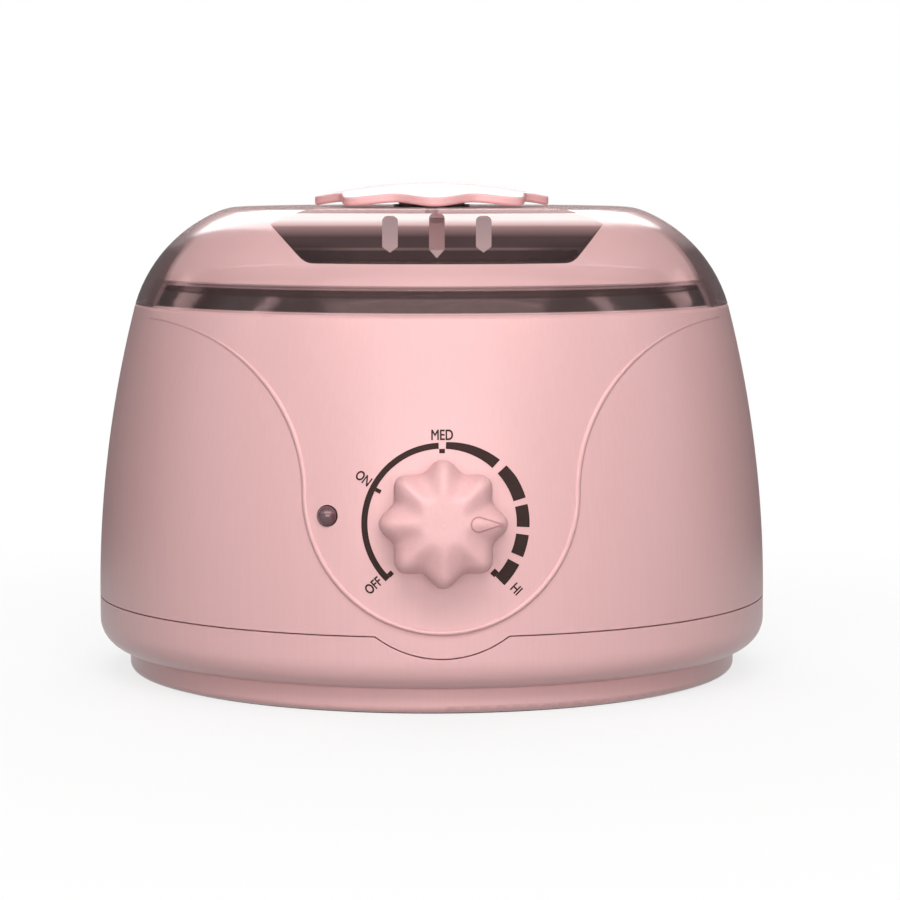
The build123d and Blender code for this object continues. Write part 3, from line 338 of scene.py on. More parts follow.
def math_node(tree, operation, first, second):
    """Math node on two values, either of which may be a link."""
    node = tree.nodes.new("ShaderNodeMath")
    node.operation = operation
    node.use_clamp = True
    for socket, value in zip(node.inputs, (first, second)):
        if isinstance(value, (int, float)):
            socket.default_value = value
        else:
            tree.links.new(value, socket)
    return node.outputs["Value"]


def rest_of(tree, share):
    """1 less a share."""
    return math_node(tree, "SUBTRACT", 1.0, share)


def height_share(tree, bottom, top):
    """Share from 0 to 1 of the way up between two heights."""
    place = tree.nodes.new("ShaderNodeTexCoord")
    parts = tree.nodes.new("ShaderNodeSeparateXYZ")
    share = tree.nodes.new("ShaderNodeMapRange")
    share.inputs["From Min"].default_value = bottom
    share.inputs["From Max"].default_value = top
    tree.links.new(place.outputs["Object"], parts.inputs["Vector"])
    tree.links.new(parts.outputs["Z"], share.inputs["Value"])
    return share.outputs["Result"]


def mix_colour(tree, factor, first, second):
    """Colour between two, by a factor."""
    node = tree.nodes.new("ShaderNodeMix")
    node.data_type = "RGBA"
    sockets = [s for s in node.inputs if s.type == "RGBA"]
    tree.links.new(factor, node.inputs["Factor"])
    for socket, value in zip(sockets, (first, second)):
        if isinstance(value, tuple):
            socket.default_value = value
        else:
            tree.links.new(value, socket)
    return next(s for s in node.outputs if s.type == "RGBA")


def edge_share(tree, start, end, lift):
    """0 on faces seen square on and 1 on faces seen at a low angle, sooner where the lift is larger."""
    weight = tree.nodes.new("ShaderNodeLayerWeight")
    weight.inputs["Blend"].default_value = 0.5
    share = tree.nodes.new("ShaderNodeMapRange")
    share.inputs["From Min"].default_value = start
    share.inputs["From Max"].default_value = end
    tree.links.new(math_node(tree, "ADD", weight.outputs["Facing"], lift), share.inputs["Value"])
    return share.outputs["Result"]


def clear_shader(name, specular):
    """Material of clear plastic, with its tree and shader."""
    material, tree, shader = new_material(name)
    shader.inputs["Roughness"].default_value = CLEAR_ROUGHNESS
    shader.inputs["Specular IOR Level"].default_value = specular
    return material, tree, shader


def thin_in_shadow(tree, cover):
    """Cover of a milky wall, which scatters most of the light that falls on it through to its inside."""
    path = tree.nodes.new("ShaderNodeLightPath")
    passed = math_node(tree, "MULTIPLY", path.outputs["Is Shadow Ray"], SCATTER_SHARE)
    return math_node(tree, "MULTIPLY", cover, rest_of(tree, passed))


def skirt_share(tree):
    """1 on the skirt of the lid, in front of the collar, and 0 above it."""
    return rest_of(tree, height_share(tree, *SKIRT_FADE))


def dome_material():
    """Outside of the lid: milky pink dome and rim, a nearly clear skirt, and painted shade where its face turns
    from view and in a dark line above the skirt.
    """
    material, tree, shader = clear_shader("lid_dome_painted_edge", DOME_SPECULAR)
    # painted shade where the face of the lid turns from view
    side = rest_of(tree, height_share(tree, *EDGE_FADE))
    low = rest_of(tree, height_share(tree, *EDGE_LOW_FADE))
    edge = edge_share(tree, EDGE_START, EDGE_END, math_node(tree, "MULTIPLY", low, EDGE_LOW_LIFT))
    edge = math_node(tree, "MULTIPLY", edge, side)
    skirt = skirt_share(tree)
    # painted shade line above the skirt
    line = math_node(tree, "MULTIPLY", skirt, height_share(tree, *BAND_SHADE_LINE))
    dark = math_node(tree, "MAXIMUM", edge, line)
    tree.links.new(mix_colour(tree, dark, LID_PINK, LID_EDGE_PAINTED_SHADE), shader.inputs["Base Color"])
    body = math_node(tree, "SUBTRACT", DOME_COVER, math_node(tree, "MULTIPLY", skirt, DOME_SKIRT_LOSS))
    rim = math_node(tree, "SUBTRACT", RIM_COVER, height_share(tree, *RIM_LINE))
    cover = math_node(tree, "MAXIMUM", body, rim)
    cover = math_node(tree, "MAXIMUM", cover, math_node(tree, "MULTIPLY", dark, EDGE_COVER))
    tree.links.new(thin_in_shadow(tree, cover), shader.inputs["Alpha"])
    return material


def recess_material():
    """Walls of the recess, coloured by height with painted light: a painted dark reflection low down, darker still
    in the corners by painted shade, a painted light line, and a pale painted highlight on the brow.
    """
    material, tree, shader = clear_shader("lid_recess_painted_light", RECESS_SPECULAR)
    ramp = tree.nodes.new("ShaderNodeValToRGB")
    stops = ramp.color_ramp.elements
    stops[0].color = RECESS_PAINTED_LIGHT_TONES[0][1]
    stops[1].color = RECESS_PAINTED_LIGHT_TONES[-1][1]
    for position, tone in RECESS_PAINTED_LIGHT_TONES[1:-1]:
        stops.new(position).color = tone
    # painted light by height: dark reflection low down, light line, and highlight on the brow
    tree.links.new(height_share(tree, RECESS_FLOOR, LID_TOP), ramp.inputs["Fac"])
    place = tree.nodes.new("ShaderNodeTexCoord")
    parts = tree.nodes.new("ShaderNodeSeparateXYZ")
    tree.links.new(place.outputs["Object"], parts.inputs["Vector"])
    aside = math_node(tree, "ABSOLUTE", parts.outputs["X"], 0.0)
    ends = tree.nodes.new("ShaderNodeMapRange")
    ends.inputs["From Min"].default_value = CORNER_SHADE_SPAN[0]
    ends.inputs["From Max"].default_value = CORNER_SHADE_SPAN[1]
    tree.links.new(aside, ends.inputs["Value"])
    low = rest_of(tree, height_share(tree, *CORNER_SHADE_FADE))
    # painted shade, darkest low in the corners of the recess
    corner_shade = math_node(tree, "MULTIPLY", ends.outputs["Result"], low)
    tone = mix_colour(tree, corner_shade, ramp.outputs["Color"], RECESS_CORNER_PAINTED_SHADE)
    tree.links.new(tone, shader.inputs["Base Color"])
    tree.links.new(thin_in_shadow(tree, RECESS_COVER), shader.inputs["Alpha"])
    return material


def lid_inside_material():
    """Inside of the lid and walls of its slots: pink over the dome and nearly clear in the skirt."""
    material, tree, shader = clear_shader("lid_inside", INSIDE_SPECULAR)
    tint = tone_ramp(tree, object_noise(tree, INSIDE_TINT_SCALE), LID_PINK, LID_PINK_DEEP)
    tree.links.new(tint, shader.inputs["Base Color"])
    loss = math_node(tree, "MULTIPLY", skirt_share(tree), INSIDE_SKIRT_LOSS)
    cover = math_node(tree, "SUBTRACT", INSIDE_COVER, loss)
    tree.links.new(thin_in_shadow(tree, cover), shader.inputs["Alpha"])
    return material


def lamp_material():
    """Tinted lamp lens, with painted shade that darkens it towards its rim."""
    material, tree, shader = new_material("lamp_lens")
    # painted shade towards the rim of the lens
    edge = edge_share(tree, LAMP_SHADE_START, LAMP_SHADE_END, 0.0)
    tree.links.new(tone_ramp(tree, edge, LAMP_MIDDLE, LAMP_RIM_PAINTED_SHADE, 0.0, 1.0), shader.inputs["Base Color"])
    shader.inputs["Roughness"].default_value = GLOSS_ROUGHNESS
    shader.inputs["Coat Weight"].default_value = LAMP_COAT
    return material


materials = {
    "body_plastic": moulded_plastic(
        "body_plastic", PINK, PINK_DEEP, stretch=(1, 1, 0.012), roughness=0.3, specular=0.5
    ),
    "knob_plastic": moulded_plastic(
        "knob_plastic", KNOB_PINK, KNOB_PINK_DEEP, stretch=(1, 1, 1), roughness=0.35, specular=0.35
    ),
    "clear_lid": dome_material(),
    "dark_collar": glossy_plastic("dark_collar", COLLAR_BROWN_LIGHT, COLLAR_BROWN),
    "black_rubber": matt("black_rubber", RUBBER_GREY, RUBBER_BLACK, 0.85),
    "pot_aluminium": metal("pot_aluminium", colour(200, 200, 203), colour(182, 182, 186), 0.32, (1, 1, 12)),
    "steel": metal("steel", colour(186, 187, 190), colour(165, 166, 170), 0.3),
    "wire_steel": metal("wire_steel", colour(212, 213, 216), colour(196, 197, 200), 0.16),
    "mica": matt("mica", colour(176, 160, 128), colour(140, 122, 92)),
    "control_case": matt("control_case", colour(62, 55, 52), colour(46, 41, 39), 0.6),
    "white_moulding": matt("white_moulding", colour(236, 234, 228), colour(224, 221, 213), 0.5),
    "brass_terminal": metal("brass_terminal", colour(216, 182, 108), colour(194, 158, 84), 0.3),
    "copper_tube": metal("copper_tube", colour(214, 148, 112), colour(190, 122, 88), 0.28),
    "lamp_lens": lamp_material(),
    "live_sleeve": matt("live_sleeve", colour(122, 80, 54), colour(104, 66, 44), 0.6),
    "neutral_sleeve": matt("neutral_sleeve", colour(72, 104, 158), colour(56, 86, 138), 0.6),
    "dial_print": matt("dial_print", PRINT_BROWN, PRINT_BROWN_DEEP, 0.7, PRINT_MOTTLE, 0.1),
    # painted shade of the groove round the knob's pointer
    "pointer_painted_shade": matt("pointer_painted_shade", POINTER_SHADE_PINK, POINTER_SHADE_PINK_DEEP, 0.7, PRINT_MOTTLE, 0.1),
}


def dress_nodes():
    """Gives each CAD piece its material and smooth shading across its gentle edges."""
    for subpart in frame["record"]["subparts"]:
        piece = nodes[subpart["node"]]
        piece.data.materials.clear()
        piece.data.materials.append(materials[subpart["material_slot"]])
        piece.data.shade_smooth()
        piece.data.set_sharp_from_angle(angle=CAD_SHARP_ANGLE)


def dome_depth(place):
    """How far a point lies inside the outline of the lid."""
    radius = hypot(place.x, place.y)
    across = radius - SHOULDER_CENTRE[0]
    up = place.z - SHOULDER_CENTRE[1]
    if atan2(up, across) < SHOULDER_END:
        return SHOULDER_RADIUS - hypot(across, up)
    if radius > TOP_EDGE_CENTRE[0]:
        return TOP_EDGE_RADIUS - hypot(radius - TOP_EDGE_CENTRE[0], place.z - TOP_EDGE_CENTRE[1])
    return LID_TOP - place.z


def recess_distance(place):
    """How far a point lies outside the space of the recess."""
    half = RECESS_HALF_WIDTH + (place.z - RECESS_FLOOR) * tan(RECESS_SLANT)
    aside = (abs(place.x) - half) * cos(RECESS_SLANT)
    return max(RECESS_FLOOR - place.z, aside, place.y - RECESS_WALL)


def dress_lid():
    """Gives the dome, the recess and the inside of the lid their own materials; those of the recess and the dome
    edge carry painted light and shade.
    """
    mesh = nodes["lid_shell"].data
    for finish in (recess_material(), lid_inside_material()):
        mesh.materials.append(finish)
    for polygon in mesh.polygons:
        place = polygon.center
        ahead = place + polygon.normal * SURFACE_SLACK
        faces_recess = recess_distance(ahead) < recess_distance(place)
        if dome_depth(place) < SURFACE_SLACK:
            polygon.material_index = 0
        elif faces_recess and recess_distance(place) < RECESS_SKIN:
            polygon.material_index = 1
        else:
            polygon.material_index = 2


def finish_piece(name, shape, finish, body):
    """Object from a bmesh, with its finish and the body that it rides on."""
    bmesh.ops.recalc_face_normals(shape, faces=shape.faces)
    mesh = bpy.data.meshes.new(name)
    shape.to_mesh(mesh)
    shape.free()
    piece = bpy.data.objects.new(name, mesh)
    bpy.context.scene.collection.objects.link(piece)
    mesh.materials.append(materials[finish])
    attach(piece, body)
    return piece


def bead_stations():
    """Places along the bead, seen from the front, each with the direction across it and its share of size."""
    low, high = BEAD_FADE
    flare = PANEL_FLARE_RADIUS + BEAD_INSET
    arc = PANEL_ARC_RADIUS - BEAD_INSET
    flare_x = PANEL_ARC_RADIUS + PANEL_FLARE_RADIUS
    right = []
    for k in range(round(high / BEAD_STEP)):
        angle = k * BEAD_STEP
        share = min(max((high - angle) / (high - low), BEAD_LEAST), 1.0)
        turn = radians(180 - angle)
        across = Vector((cos(turn), sin(turn)))
        right.append((Vector((flare_x, PANEL_WAIST)) + across * flare, across, share))
    bottom = []
    for k in range(1, round(180 / BEAD_STEP)):
        turn = radians(180 + k * BEAD_STEP)
        across = -Vector((cos(turn), sin(turn)))
        bottom.append((Vector((0, PANEL_WAIST)) - across * arc, across, 1.0))
    left = [(Vector((-p.x, p.y)), Vector((-a.x, a.y)), share) for p, a, share in reversed(right)]
    return left + bottom + right


def front_point(place):
    """Point and normal on the front of the housing, for a place seen from the front."""
    start = Vector((place.x, -FRONT_START, place.y))
    return nodes["upper_housing"].ray_cast(start, Vector((0, 1, 0)))[1:3]


def make_panel_bead():
    """Rounded bead along the edge of the front panel, fading out up the flares."""
    shape = bmesh.new()
    rings = []
    for place, across, share in bead_stations():
        normal = front_point(place)[1]
        ring = []
        for k in range(BEAD_SIDES + 1):
            turn = pi * k / BEAD_SIDES
            foot = front_point(place + across * (BEAD_WIDTH / 2 * share * cos(turn)))[0]
            ring.append(shape.verts.new(foot + normal * (BEAD_HEIGHT * share * sin(turn))))
        for side in (-1, 1):
            foot = front_point(place + across * (BEAD_WIDTH / 2 * share * side))[0]
            ring.append(shape.verts.new(foot - normal * BEAD_ROOT))
        rings.append(ring)
    for ring, after in zip(rings, rings[1:]):
        for k in range(len(ring)):
            shape.faces.new([ring[k - 1], ring[k], after[k], after[k - 1]])
    shape.faces.new(rings[0])
    shape.faces.new(rings[-1])
    bead = finish_piece("panel_bead", shape, "body_plastic", "housing")
    bead.data.shade_smooth()
    bead.data.set_sharp_from_angle(angle=SCENE_SHARP_ANGLE)


def panel_point(right, up):
    """Point on the front panel, for a place in the plane of the dial."""
    start = dial_centre + dial_right * right + dial_up * up + dial_axis * PANEL_START
    return nodes["upper_housing"].ray_cast(start, -dial_axis)[1]


def print_piece(name, faces, surface=panel_point, finish="dial_print", body="housing"):
    """Thin print on a surface from faces that are drawn in the plane of the dial."""
    shape = bmesh.new()
    corners = {}
    for face in faces:
        ring = []
        for point in face:
            key = (round(point[0] / PRINT_GRID), round(point[1] / PRINT_GRID))
            if key not in corners:
                corners[key] = shape.verts.new(surface(*point) + dial_axis * PRINT_LIFT)
            ring.append(corners[key])
        shape.faces.new(ring)
    bmesh.ops.recalc_face_normals(shape, faces=shape.faces)
    front = list(shape.faces)
    if front[0].normal.dot(dial_axis) < 0:
        bmesh.ops.reverse_faces(shape, faces=front)
    raised = bmesh.ops.extrude_face_region(shape, geom=front, use_keep_orig=True)
    moved = [v for v in raised["geom"] if isinstance(v, bmesh.types.BMVert)]
    bmesh.ops.translate(shape, verts=moved, vec=dial_axis * PRINT_DEPTH)
    return finish_piece(name, shape, finish, body)


def on_dial(angle, radius):
    """Place in the plane of the dial from an angle, counted from the right, and a radius."""
    turn = radians(angle)
    return (radius * cos(turn), radius * sin(turn))


def scale_width(angle):
    """Width of the printed scale, which grows from the left over the top to the right."""
    share = min(max((DIAL_GROWTH_START - angle) / DIAL_GROWTH_SPAN, 0.0), 1.0)
    return DIAL_THIN + (DIAL_THICK - DIAL_THIN) * share


def scale_faces(first, last):
    """Faces of one stretch of the printed scale."""
    count = max(2, round(abs(first - last) / DIAL_STEP))
    angles = [first + (last - first) * k / count for k in range(count + 1)]
    faces = []
    for here, there in zip(angles, angles[1:]):
        faces.append(
            [
                on_dial(here, DIAL_INNER),
                on_dial(here, DIAL_INNER + scale_width(here)),
                on_dial(there, DIAL_INNER + scale_width(there)),
                on_dial(there, DIAL_INNER),
            ]
        )
    return faces


def tick_face(angle, inner, outer, width):
    """Face of one straight tick across the scale."""
    along = Vector(on_dial(angle, 1.0))
    across = Vector((-along.y, along.x)) * width / 2
    low = along * inner
    high = along * outer
    return [tuple(low - across), tuple(high - across), tuple(high + across), tuple(low + across)]


def make_dial_scale():
    """Printed arc and its widening blocks, each from one angle to another, and ticks across it.

    A tick has its angle and then, in millimetres, the radius where it starts, where it ends and its width.
    """
    stretches = {
        "low": (225.5, 92.5),
        "middle": (87.2, 47.6),
        "warm": (41.9, 17.0),
        "hot": (12.6, -2.7),
        "hotter": (-7.9, -22.9),
        "high": (-28.3, -45.0),
    }
    for name, (first, last) in stretches.items():
        print_piece("dial_scale_" + name, scale_faces(first, last))
    ticks = {
        "off": (224.0, 17.0, 18.28, 1.2),
        "on": (152.7, 16.9, 18.28, 1.0),
        "medium": (90.0, 17.2, 18.28, 1.4),
        "high": (-43.5, 16.9, 18.28, 1.7),
    }
    for name, (angle, inner, outer, width) in ticks.items():
        print_piece("dial_tick_" + name, [tick_face(angle, inner * MM, outer * MM, width * MM)])


def bolder(points, rings):
    """Points of flat faces with the outline of the faces moved outwards."""
    sides = {}
    for ring in rings:
        for here, there in zip(ring, ring[1:] + ring[:1]):
            sides[(here, there)] = (there, here)
    outward = [Vector((0.0, 0.0)) for point in points]
    for (here, there), turned in sides.items():
        if turned not in sides:
            along = points[there] - points[here]
            across = Vector((along.y, -along.x)).normalized()
            outward[here] += across
            outward[there] += across
    return [point + push.normalized() * WORD_WEIGHT for point, push in zip(points, outward)]


def word_faces(text, angle, radius, turn, height):
    """Faces of a word, drawn upright and then turned about its middle."""
    curve = bpy.data.curves.new("word", "FONT")
    curve.body = text
    curve.align_x = "CENTER"
    curve.align_y = "CENTER"
    curve.resolution_u = 6
    writer = bpy.data.objects.new("word", curve)
    bpy.context.scene.collection.objects.link(writer)
    bpy.context.view_layer.update()
    mesh = writer.to_mesh()
    ys = [v.co.y for v in mesh.vertices]
    scale = height / (max(ys) - min(ys))
    middle = (max(ys) + min(ys)) / 2
    lean = Matrix.Rotation(radians(turn), 2)
    centre = Vector(on_dial(angle, radius))
    flat = [Vector((v.co.x * scale * WORD_CONDENSE, (v.co.y - middle) * scale)) for v in mesh.vertices]
    rings = [list(polygon.vertices) for polygon in mesh.polygons]
    bold = bolder(flat, rings)
    faces = [[tuple(centre + lean @ bold[index]) for index in ring] for ring in rings]
    writer.to_mesh_clear()
    bpy.data.objects.remove(writer)
    bpy.data.curves.remove(curve)
    return faces


def make_dial_words():
    """Printed words round the scale, each with its angle, radius, turn and height of letters."""
    words = {
        "OFF": (221.8, 22.7, 42.0, 2.35),
        "ON": (149.8, 22.2, -38.0, 2.35),
        "MED": (90.0, 21.7, 0.0, 2.45),
        "HI": (-41.6, 24.3, -45.0, 2.35),
    }
    for text, (angle, radius, turn, height) in words.items():
        faces = word_faces(text, angle, radius * MM, turn, height * MM)
        print_piece("dial_word_" + text.lower(), faces)


def reach_on_axis(name):
    """Radius of a CAD piece about the axis of the dial, and where it starts and ends along that axis."""
    places = [v.co - dial_centre for v in nodes[name].data.vertices]
    along = [p.dot(dial_axis) for p in places]
    aside = [(p - dial_axis * a).length for p, a in zip(places, along)]
    return max(aside), min(along), max(along)


knob_radius, knob_back, knob_front = reach_on_axis("temperature_knob")
shaft_reach = reach_on_axis("thermostat_shaft")
shaft_radius = shaft_reach[0]
shaft_front = shaft_reach[2]
bush_front = reach_on_axis("thermostat_bush")[2]


def flute_share(turn):
    """0 on the crest of a lobe and 1 in the flute between two lobes."""
    return (1 - cos(KNOB_LOBES * turn)) / 2


def smooth_share(value, start, end):
    """Share of the way from start to end, eased at both ends."""
    share = min(max((value - start) / (end - start), 0.0), 1.0)
    return share * share * (3 - 2 * share)


def knob_face(radius, turn):
    """How far the face of the knob lies behind its front. It falls away outwards, more in the flutes."""
    past = max(radius - KNOB_FACE_START, 0.0)
    bend = KNOB_FACE_END - KNOB_FACE_START
    fall = KNOB_FACE_SLOPE * (past * past / (2 * bend) if past < bend else past - bend / 2)
    groove = KNOB_GROOVE_DEPTH * smooth_share(radius, KNOB_GROOVE_START, KNOB_GROOVE_END)
    return fall + groove * flute_share(turn)


def knob_point(right, up):
    """Point on the face of the knob, for a place in the plane of the dial."""
    depth = knob_face(hypot(right, up), atan2(up, right))
    return dial_centre + dial_right * right + dial_up * up + dial_axis * (knob_front - depth)


def knob_section(turn):
    """Radius and height of the knob's points at one angle, from its face over its edge to its bore."""
    reach = knob_radius - KNOB_FLUTE * flute_share(turn)
    points = []
    for k in range(1, KNOB_FACE_STEPS + 1):
        place = (reach - KNOB_EDGE_ROUND) * k / KNOB_FACE_STEPS
        points.append((place, knob_front - knob_face(place, turn)))
    for k in range(1, KNOB_EDGE_STEPS + 1):
        bend = radians(90 * k / KNOB_EDGE_STEPS)
        place = reach - KNOB_EDGE_ROUND * (1 - sin(bend))
        points.append((place, knob_front - knob_face(place, turn) - KNOB_EDGE_ROUND * (1 - cos(bend))))
    points.append((reach, (points[-1][1] + knob_back) / 2))
    points.append((reach, knob_back))
    hub = bush_front + KNOB_SLACK
    bore = shaft_radius + KNOB_SLACK
    points.append((KNOB_HOLLOW_RADIUS, knob_back))
    points.append((KNOB_HOLLOW_RADIUS, hub))
    points.append((bore, hub))
    points.append((bore, shaft_front + KNOB_SLACK))
    return points


def make_knob():
    """Softly fluted knob, and a dark line round its pointer that is painted shade standing in for an engraved
    groove.
    """
    shape = bmesh.new()
    rings = []
    for k in range(KNOB_TURN_STEPS):
        turn = 2 * pi * k / KNOB_TURN_STEPS
        outward = dial_right * cos(turn) + dial_up * sin(turn)
        ring = [dial_centre + outward * r + dial_axis * z for r, z in knob_section(turn)]
        rings.append([shape.verts.new(p) for p in ring])
    front = shape.verts.new(dial_centre + dial_axis * knob_front)
    depth = shape.verts.new(dial_centre + dial_axis * (shaft_front + KNOB_SLACK))
    for ring, after in zip(rings, rings[1:] + rings[:1]):
        shape.faces.new([front, ring[0], after[0]])
        shape.faces.new([depth, ring[-1], after[-1]])
        for k in range(len(ring) - 1):
            shape.faces.new([ring[k], ring[k + 1], after[k + 1], after[k]])
    knob = finish_piece("knob_form", shape, "knob_plastic", "control_knob")
    knob.data.shade_smooth()
    knob.data.set_sharp_from_angle(angle=SCENE_SHARP_ANGLE)
    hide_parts("temperature_knob")
    # painted shade: a dark line round the pointer stands in for the shade of an engraved groove
    outer = pointer_outline(POINTER_SHADE_WIDTH / 2)
    inner = pointer_outline(-POINTER_SHADE_WIDTH / 2)
    faces = []
    for k in range(len(outer)):
        faces.append([outer[k - 1], outer[k], inner[k], inner[k - 1]])
    print_piece("knob_pointer_painted_shade", faces, knob_point, "pointer_painted_shade", "control_knob")


def pointer_outline(growth):
    """Points round the teardrop of the pointer, grown on all sides."""
    radius = POINTER_RADIUS + growth
    centre = POINTER_INNER + POINTER_RADIUS
    tip = centre + (POINTER_LENGTH - POINTER_RADIUS) * radius / POINTER_RADIUS
    lean = acos(radius / (tip - centre))
    points = []
    for k in range(POINTER_ARC_STEPS + 1):
        turn = lean + (2 * pi - 2 * lean) * k / POINTER_ARC_STEPS
        points.append((centre + radius * cos(turn), radius * sin(turn)))
    low = points[-1]
    high = points[0]
    shares = [k / POINTER_SIDE_STEPS for k in range(1, POINTER_SIDE_STEPS)]
    for share in shares:
        points.append((low[0] + (tip - low[0]) * share, low[1] * (1 - share)))
    points.append((tip, 0.0))
    for share in shares:
        points.append((tip + (high[0] - tip) * share, high[1] * share))
    return points


def make_camera():
    """Camera at the photograph's viewing angle."""
    data = bpy.data.cameras.new("camera")
    data.lens = CAMERA_LENS
    data.sensor_width = CAMERA_SENSOR
    camera = bpy.data.objects.new("camera", data)
    bpy.context.scene.collection.objects.link(camera)
    bearing = radians(CAMERA_BEARING)
    camera.location = (
        -CAMERA_DISTANCE * sin(bearing),
        -CAMERA_DISTANCE * cos(bearing),
        CAMERA_HEIGHT,
    )
    yaw = -radians(CAMERA_BEARING + CAMERA_PAN)
    camera.rotation_euler = (radians(90 - CAMERA_TILT), 0, yaw)
    bpy.context.scene.camera = camera


def area_light(name, place, target, size, power):
    """Soft rectangular lamp that points at a target."""
    data = bpy.data.lights.new(name, "AREA")
    data.shape = "RECTANGLE"
    data.size = size[0]
    data.size_y = size[1]
    data.energy = power
    lamp = bpy.data.objects.new(name, data)
    bpy.context.scene.collection.objects.link(lamp)
    lamp.location = place
    lamp.rotation_euler = (Vector(target) - Vector(place)).to_track_quat("-Z", "Y").to_euler()
    return lamp


def background_share(tree):
    """1 for rays that should see the white background, and 0 for rays that carry light."""
    path = tree.nodes.new("ShaderNodeLightPath")
    seen = math_node(tree, "ADD", path.outputs["Is Camera Ray"], path.outputs["Is Glossy Ray"])
    return math_node(tree, "ADD", seen, path.outputs["Is Transmission Ray"])


def card_strength(tree, depth, start, end):
    """Strength of the white surround, dimmed towards the back by a grey card that only reflections see."""
    card = tree.nodes.new("ShaderNodeMapRange")
    card.inputs["From Min"].default_value = start
    card.inputs["From Max"].default_value = end
    tree.links.new(depth, card.inputs["Value"])
    path = tree.nodes.new("ShaderNodeLightPath")
    shade = math_node(tree, "MULTIPLY", card.outputs["Result"], path.outputs["Is Glossy Ray"])
    return rest_of(tree, math_node(tree, "MULTIPLY", shade, CARD_SHADE))


def make_world():
    """White studio that lights the object at a plain level, with a grey card that edges reflect."""
    world = bpy.data.worlds.new("studio")
    bpy.context.scene.world = world
    world.use_nodes = True
    tree = world.node_tree
    light = tree.nodes["Background"]
    light.inputs["Color"].default_value = WHITE
    light.inputs["Strength"].default_value = WORLD_LIGHT
    place = tree.nodes.new("ShaderNodeTexCoord")
    parts = tree.nodes.new("ShaderNodeSeparateXYZ")
    tree.links.new(place.outputs["Generated"], parts.inputs["Vector"])
    white = tree.nodes.new("ShaderNodeBackground")
    white.inputs["Color"].default_value = WHITE
    strength = card_strength(tree, parts.outputs["Y"], CARD_EDGE, CARD_EDGE + CARD_SOFTNESS)
    tree.links.new(strength, white.inputs["Strength"])
    mix = tree.nodes.new("ShaderNodeMixShader")
    tree.links.new(background_share(tree), mix.inputs["Fac"])
    tree.links.new(light.outputs["Background"], mix.inputs[1])
    tree.links.new(white.outputs["Background"], mix.inputs[2])
    tree.links.new(mix.outputs["Shader"], tree.nodes["World Output"].inputs["Surface"])


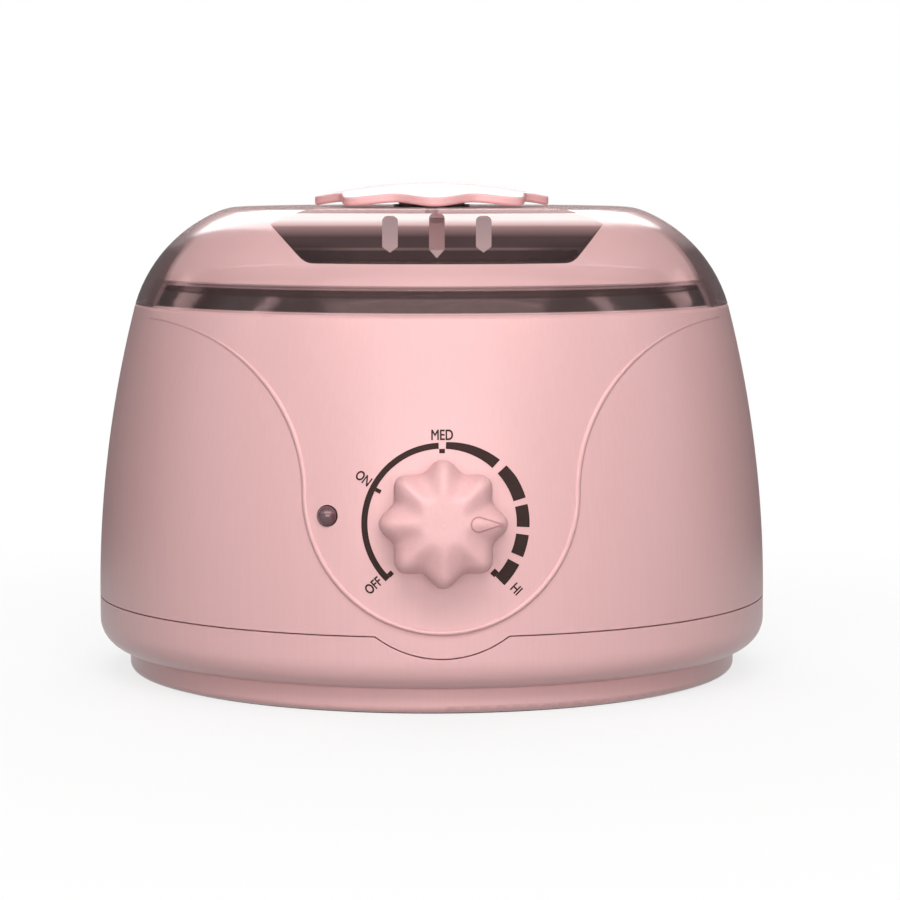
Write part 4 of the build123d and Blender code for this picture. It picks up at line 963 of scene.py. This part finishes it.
def make_floor():
    """Pale floor that keeps a faint shadow."""
    mesh = bpy.data.meshes.new("floor")
    half = FLOOR_SIZE / 2
    corners = [(-half, -half, 0), (half, -half, 0), (half, half, 0), (-half, half, 0)]
    mesh.from_pydata(corners, [], [(0, 1, 2, 3)])
    floor = bpy.data.objects.new("floor", mesh)
    bpy.context.scene.collection.objects.link(floor)
    material = bpy.data.materials.new("floor")
    material.use_nodes = True
    tree = material.node_tree
    tree.nodes.remove(tree.nodes["Principled BSDF"])
    plain = tree.nodes.new("ShaderNodeBsdfDiffuse")
    path = tree.nodes.new("ShaderNodeLightPath")
    tone = mix_colour(tree, path.outputs["Is Camera Ray"], FLOOR_GREY, FLOOR_PALE)
    tree.links.new(tone, plain.inputs["Color"])
    white = tree.nodes.new("ShaderNodeEmission")
    white.inputs["Color"].default_value = WHITE
    mix = tree.nodes.new("ShaderNodeMixShader")
    place = tree.nodes.new("ShaderNodeTexCoord")
    distance = tree.nodes.new("ShaderNodeVectorMath")
    distance.operation = "LENGTH"
    far = tree.nodes.new("ShaderNodeMapRange")
    far.inputs["From Min"].default_value = FLOOR_NEAR
    far.inputs["From Max"].default_value = FLOOR_FAR
    far.inputs["To Min"].default_value = FLOOR_WHITE_NEAR
    tree.links.new(place.outputs["Object"], distance.inputs[0])
    tree.links.new(distance.outputs["Value"], far.inputs["Value"])
    parts = tree.nodes.new("ShaderNodeSeparateXYZ")
    tree.links.new(place.outputs["Object"], parts.inputs["Vector"])
    strength = card_strength(tree, parts.outputs["Y"], 0.0, CARD_FLOOR_FADE)
    tree.links.new(strength, white.inputs["Strength"])
    share = math_node(tree, "MULTIPLY", background_share(tree), far.outputs["Result"])
    tree.links.new(share, mix.inputs["Fac"])
    tree.links.new(plain.outputs["BSDF"], mix.inputs[1])
    tree.links.new(white.outputs["Emission"], mix.inputs[2])
    tree.links.new(mix.outputs["Shader"], tree.nodes["Material Output"].inputs["Surface"])
    mesh.materials.append(material)


def round_light(name, bearing, elevation, size, power):
    """Soft lamp at a bearing from the front and an elevation, LIGHT_DISTANCE from the object."""
    turn = radians(bearing)
    rise = radians(elevation)
    away = Vector((sin(turn) * cos(rise), -cos(turn) * cos(rise), sin(rise)))
    return area_light(name, LIGHT_TARGET + away * LIGHT_DISTANCE, LIGHT_TARGET, size, power)


def plain_light(name, bearing, elevation, size, power):
    """Soft lamp that doesn't show in glossy surfaces."""
    lamp = round_light(name, bearing, elevation, size, power)
    lamp.visible_glossy = False


def sheen_light(name, bearing, elevation, size, power, shade):
    """Tinted lamp that shows only in glossy surfaces."""
    lamp = round_light(name, bearing, elevation, size, power)
    lamp.data.color = shade
    lamp.visible_diffuse = False


def make_lights():
    """Key and fill lights in front, a fill behind, a softbox overhead, and sheen lamps on all sides.

    Each has its bearing and elevation in degrees, its size in metres and its power in watts.
    """
    plain_light("key", 0, 42, (1.1, 0.5), 11.6)
    plain_light("low_fill", 0, 4, (0.8, 0.2), 3.0)
    round_light("fill", 0, 3, (1.4, 1.2), 12.6)
    plain_light("back_fill", 180, 18, (1.6, 1.0), 12.0)
    plain_light("top", 180, 78, (1.2, 1.4), 9.0)
    sheen_light("back_sheen", 180, 42, (1.2, 1.15), 25.0, WHITE[:3])
    sheen_light("band_sheen", 0, 56, (2.3, 0.5), 11.0, SHEEN_PINK)
    sheen_light("low_sheen", 0, 6, (1.0, 0.35), 3.0, SHEEN_PINK)
    sheen_light("front_sheen", 0, 40, (2.3, 0.45), 18.0, SHEEN_PINK)
    for side in (-1, 1):
        sheen_light("strip_sheen", side * 76, 30, (0.16, 0.4), 2.0, SHEEN_PINK)
        sheen_light("side_sheen", side * 122, 20, (0.36, 0.3), 1.3, SHEEN_PINK)


bpy.context.scene.view_settings.view_transform = "Standard"
dress_nodes()
dress_lid()
make_panel_bead()
make_dial_scale()
make_dial_words()
make_knob()
make_camera()
make_world()
make_floor()
make_lights()
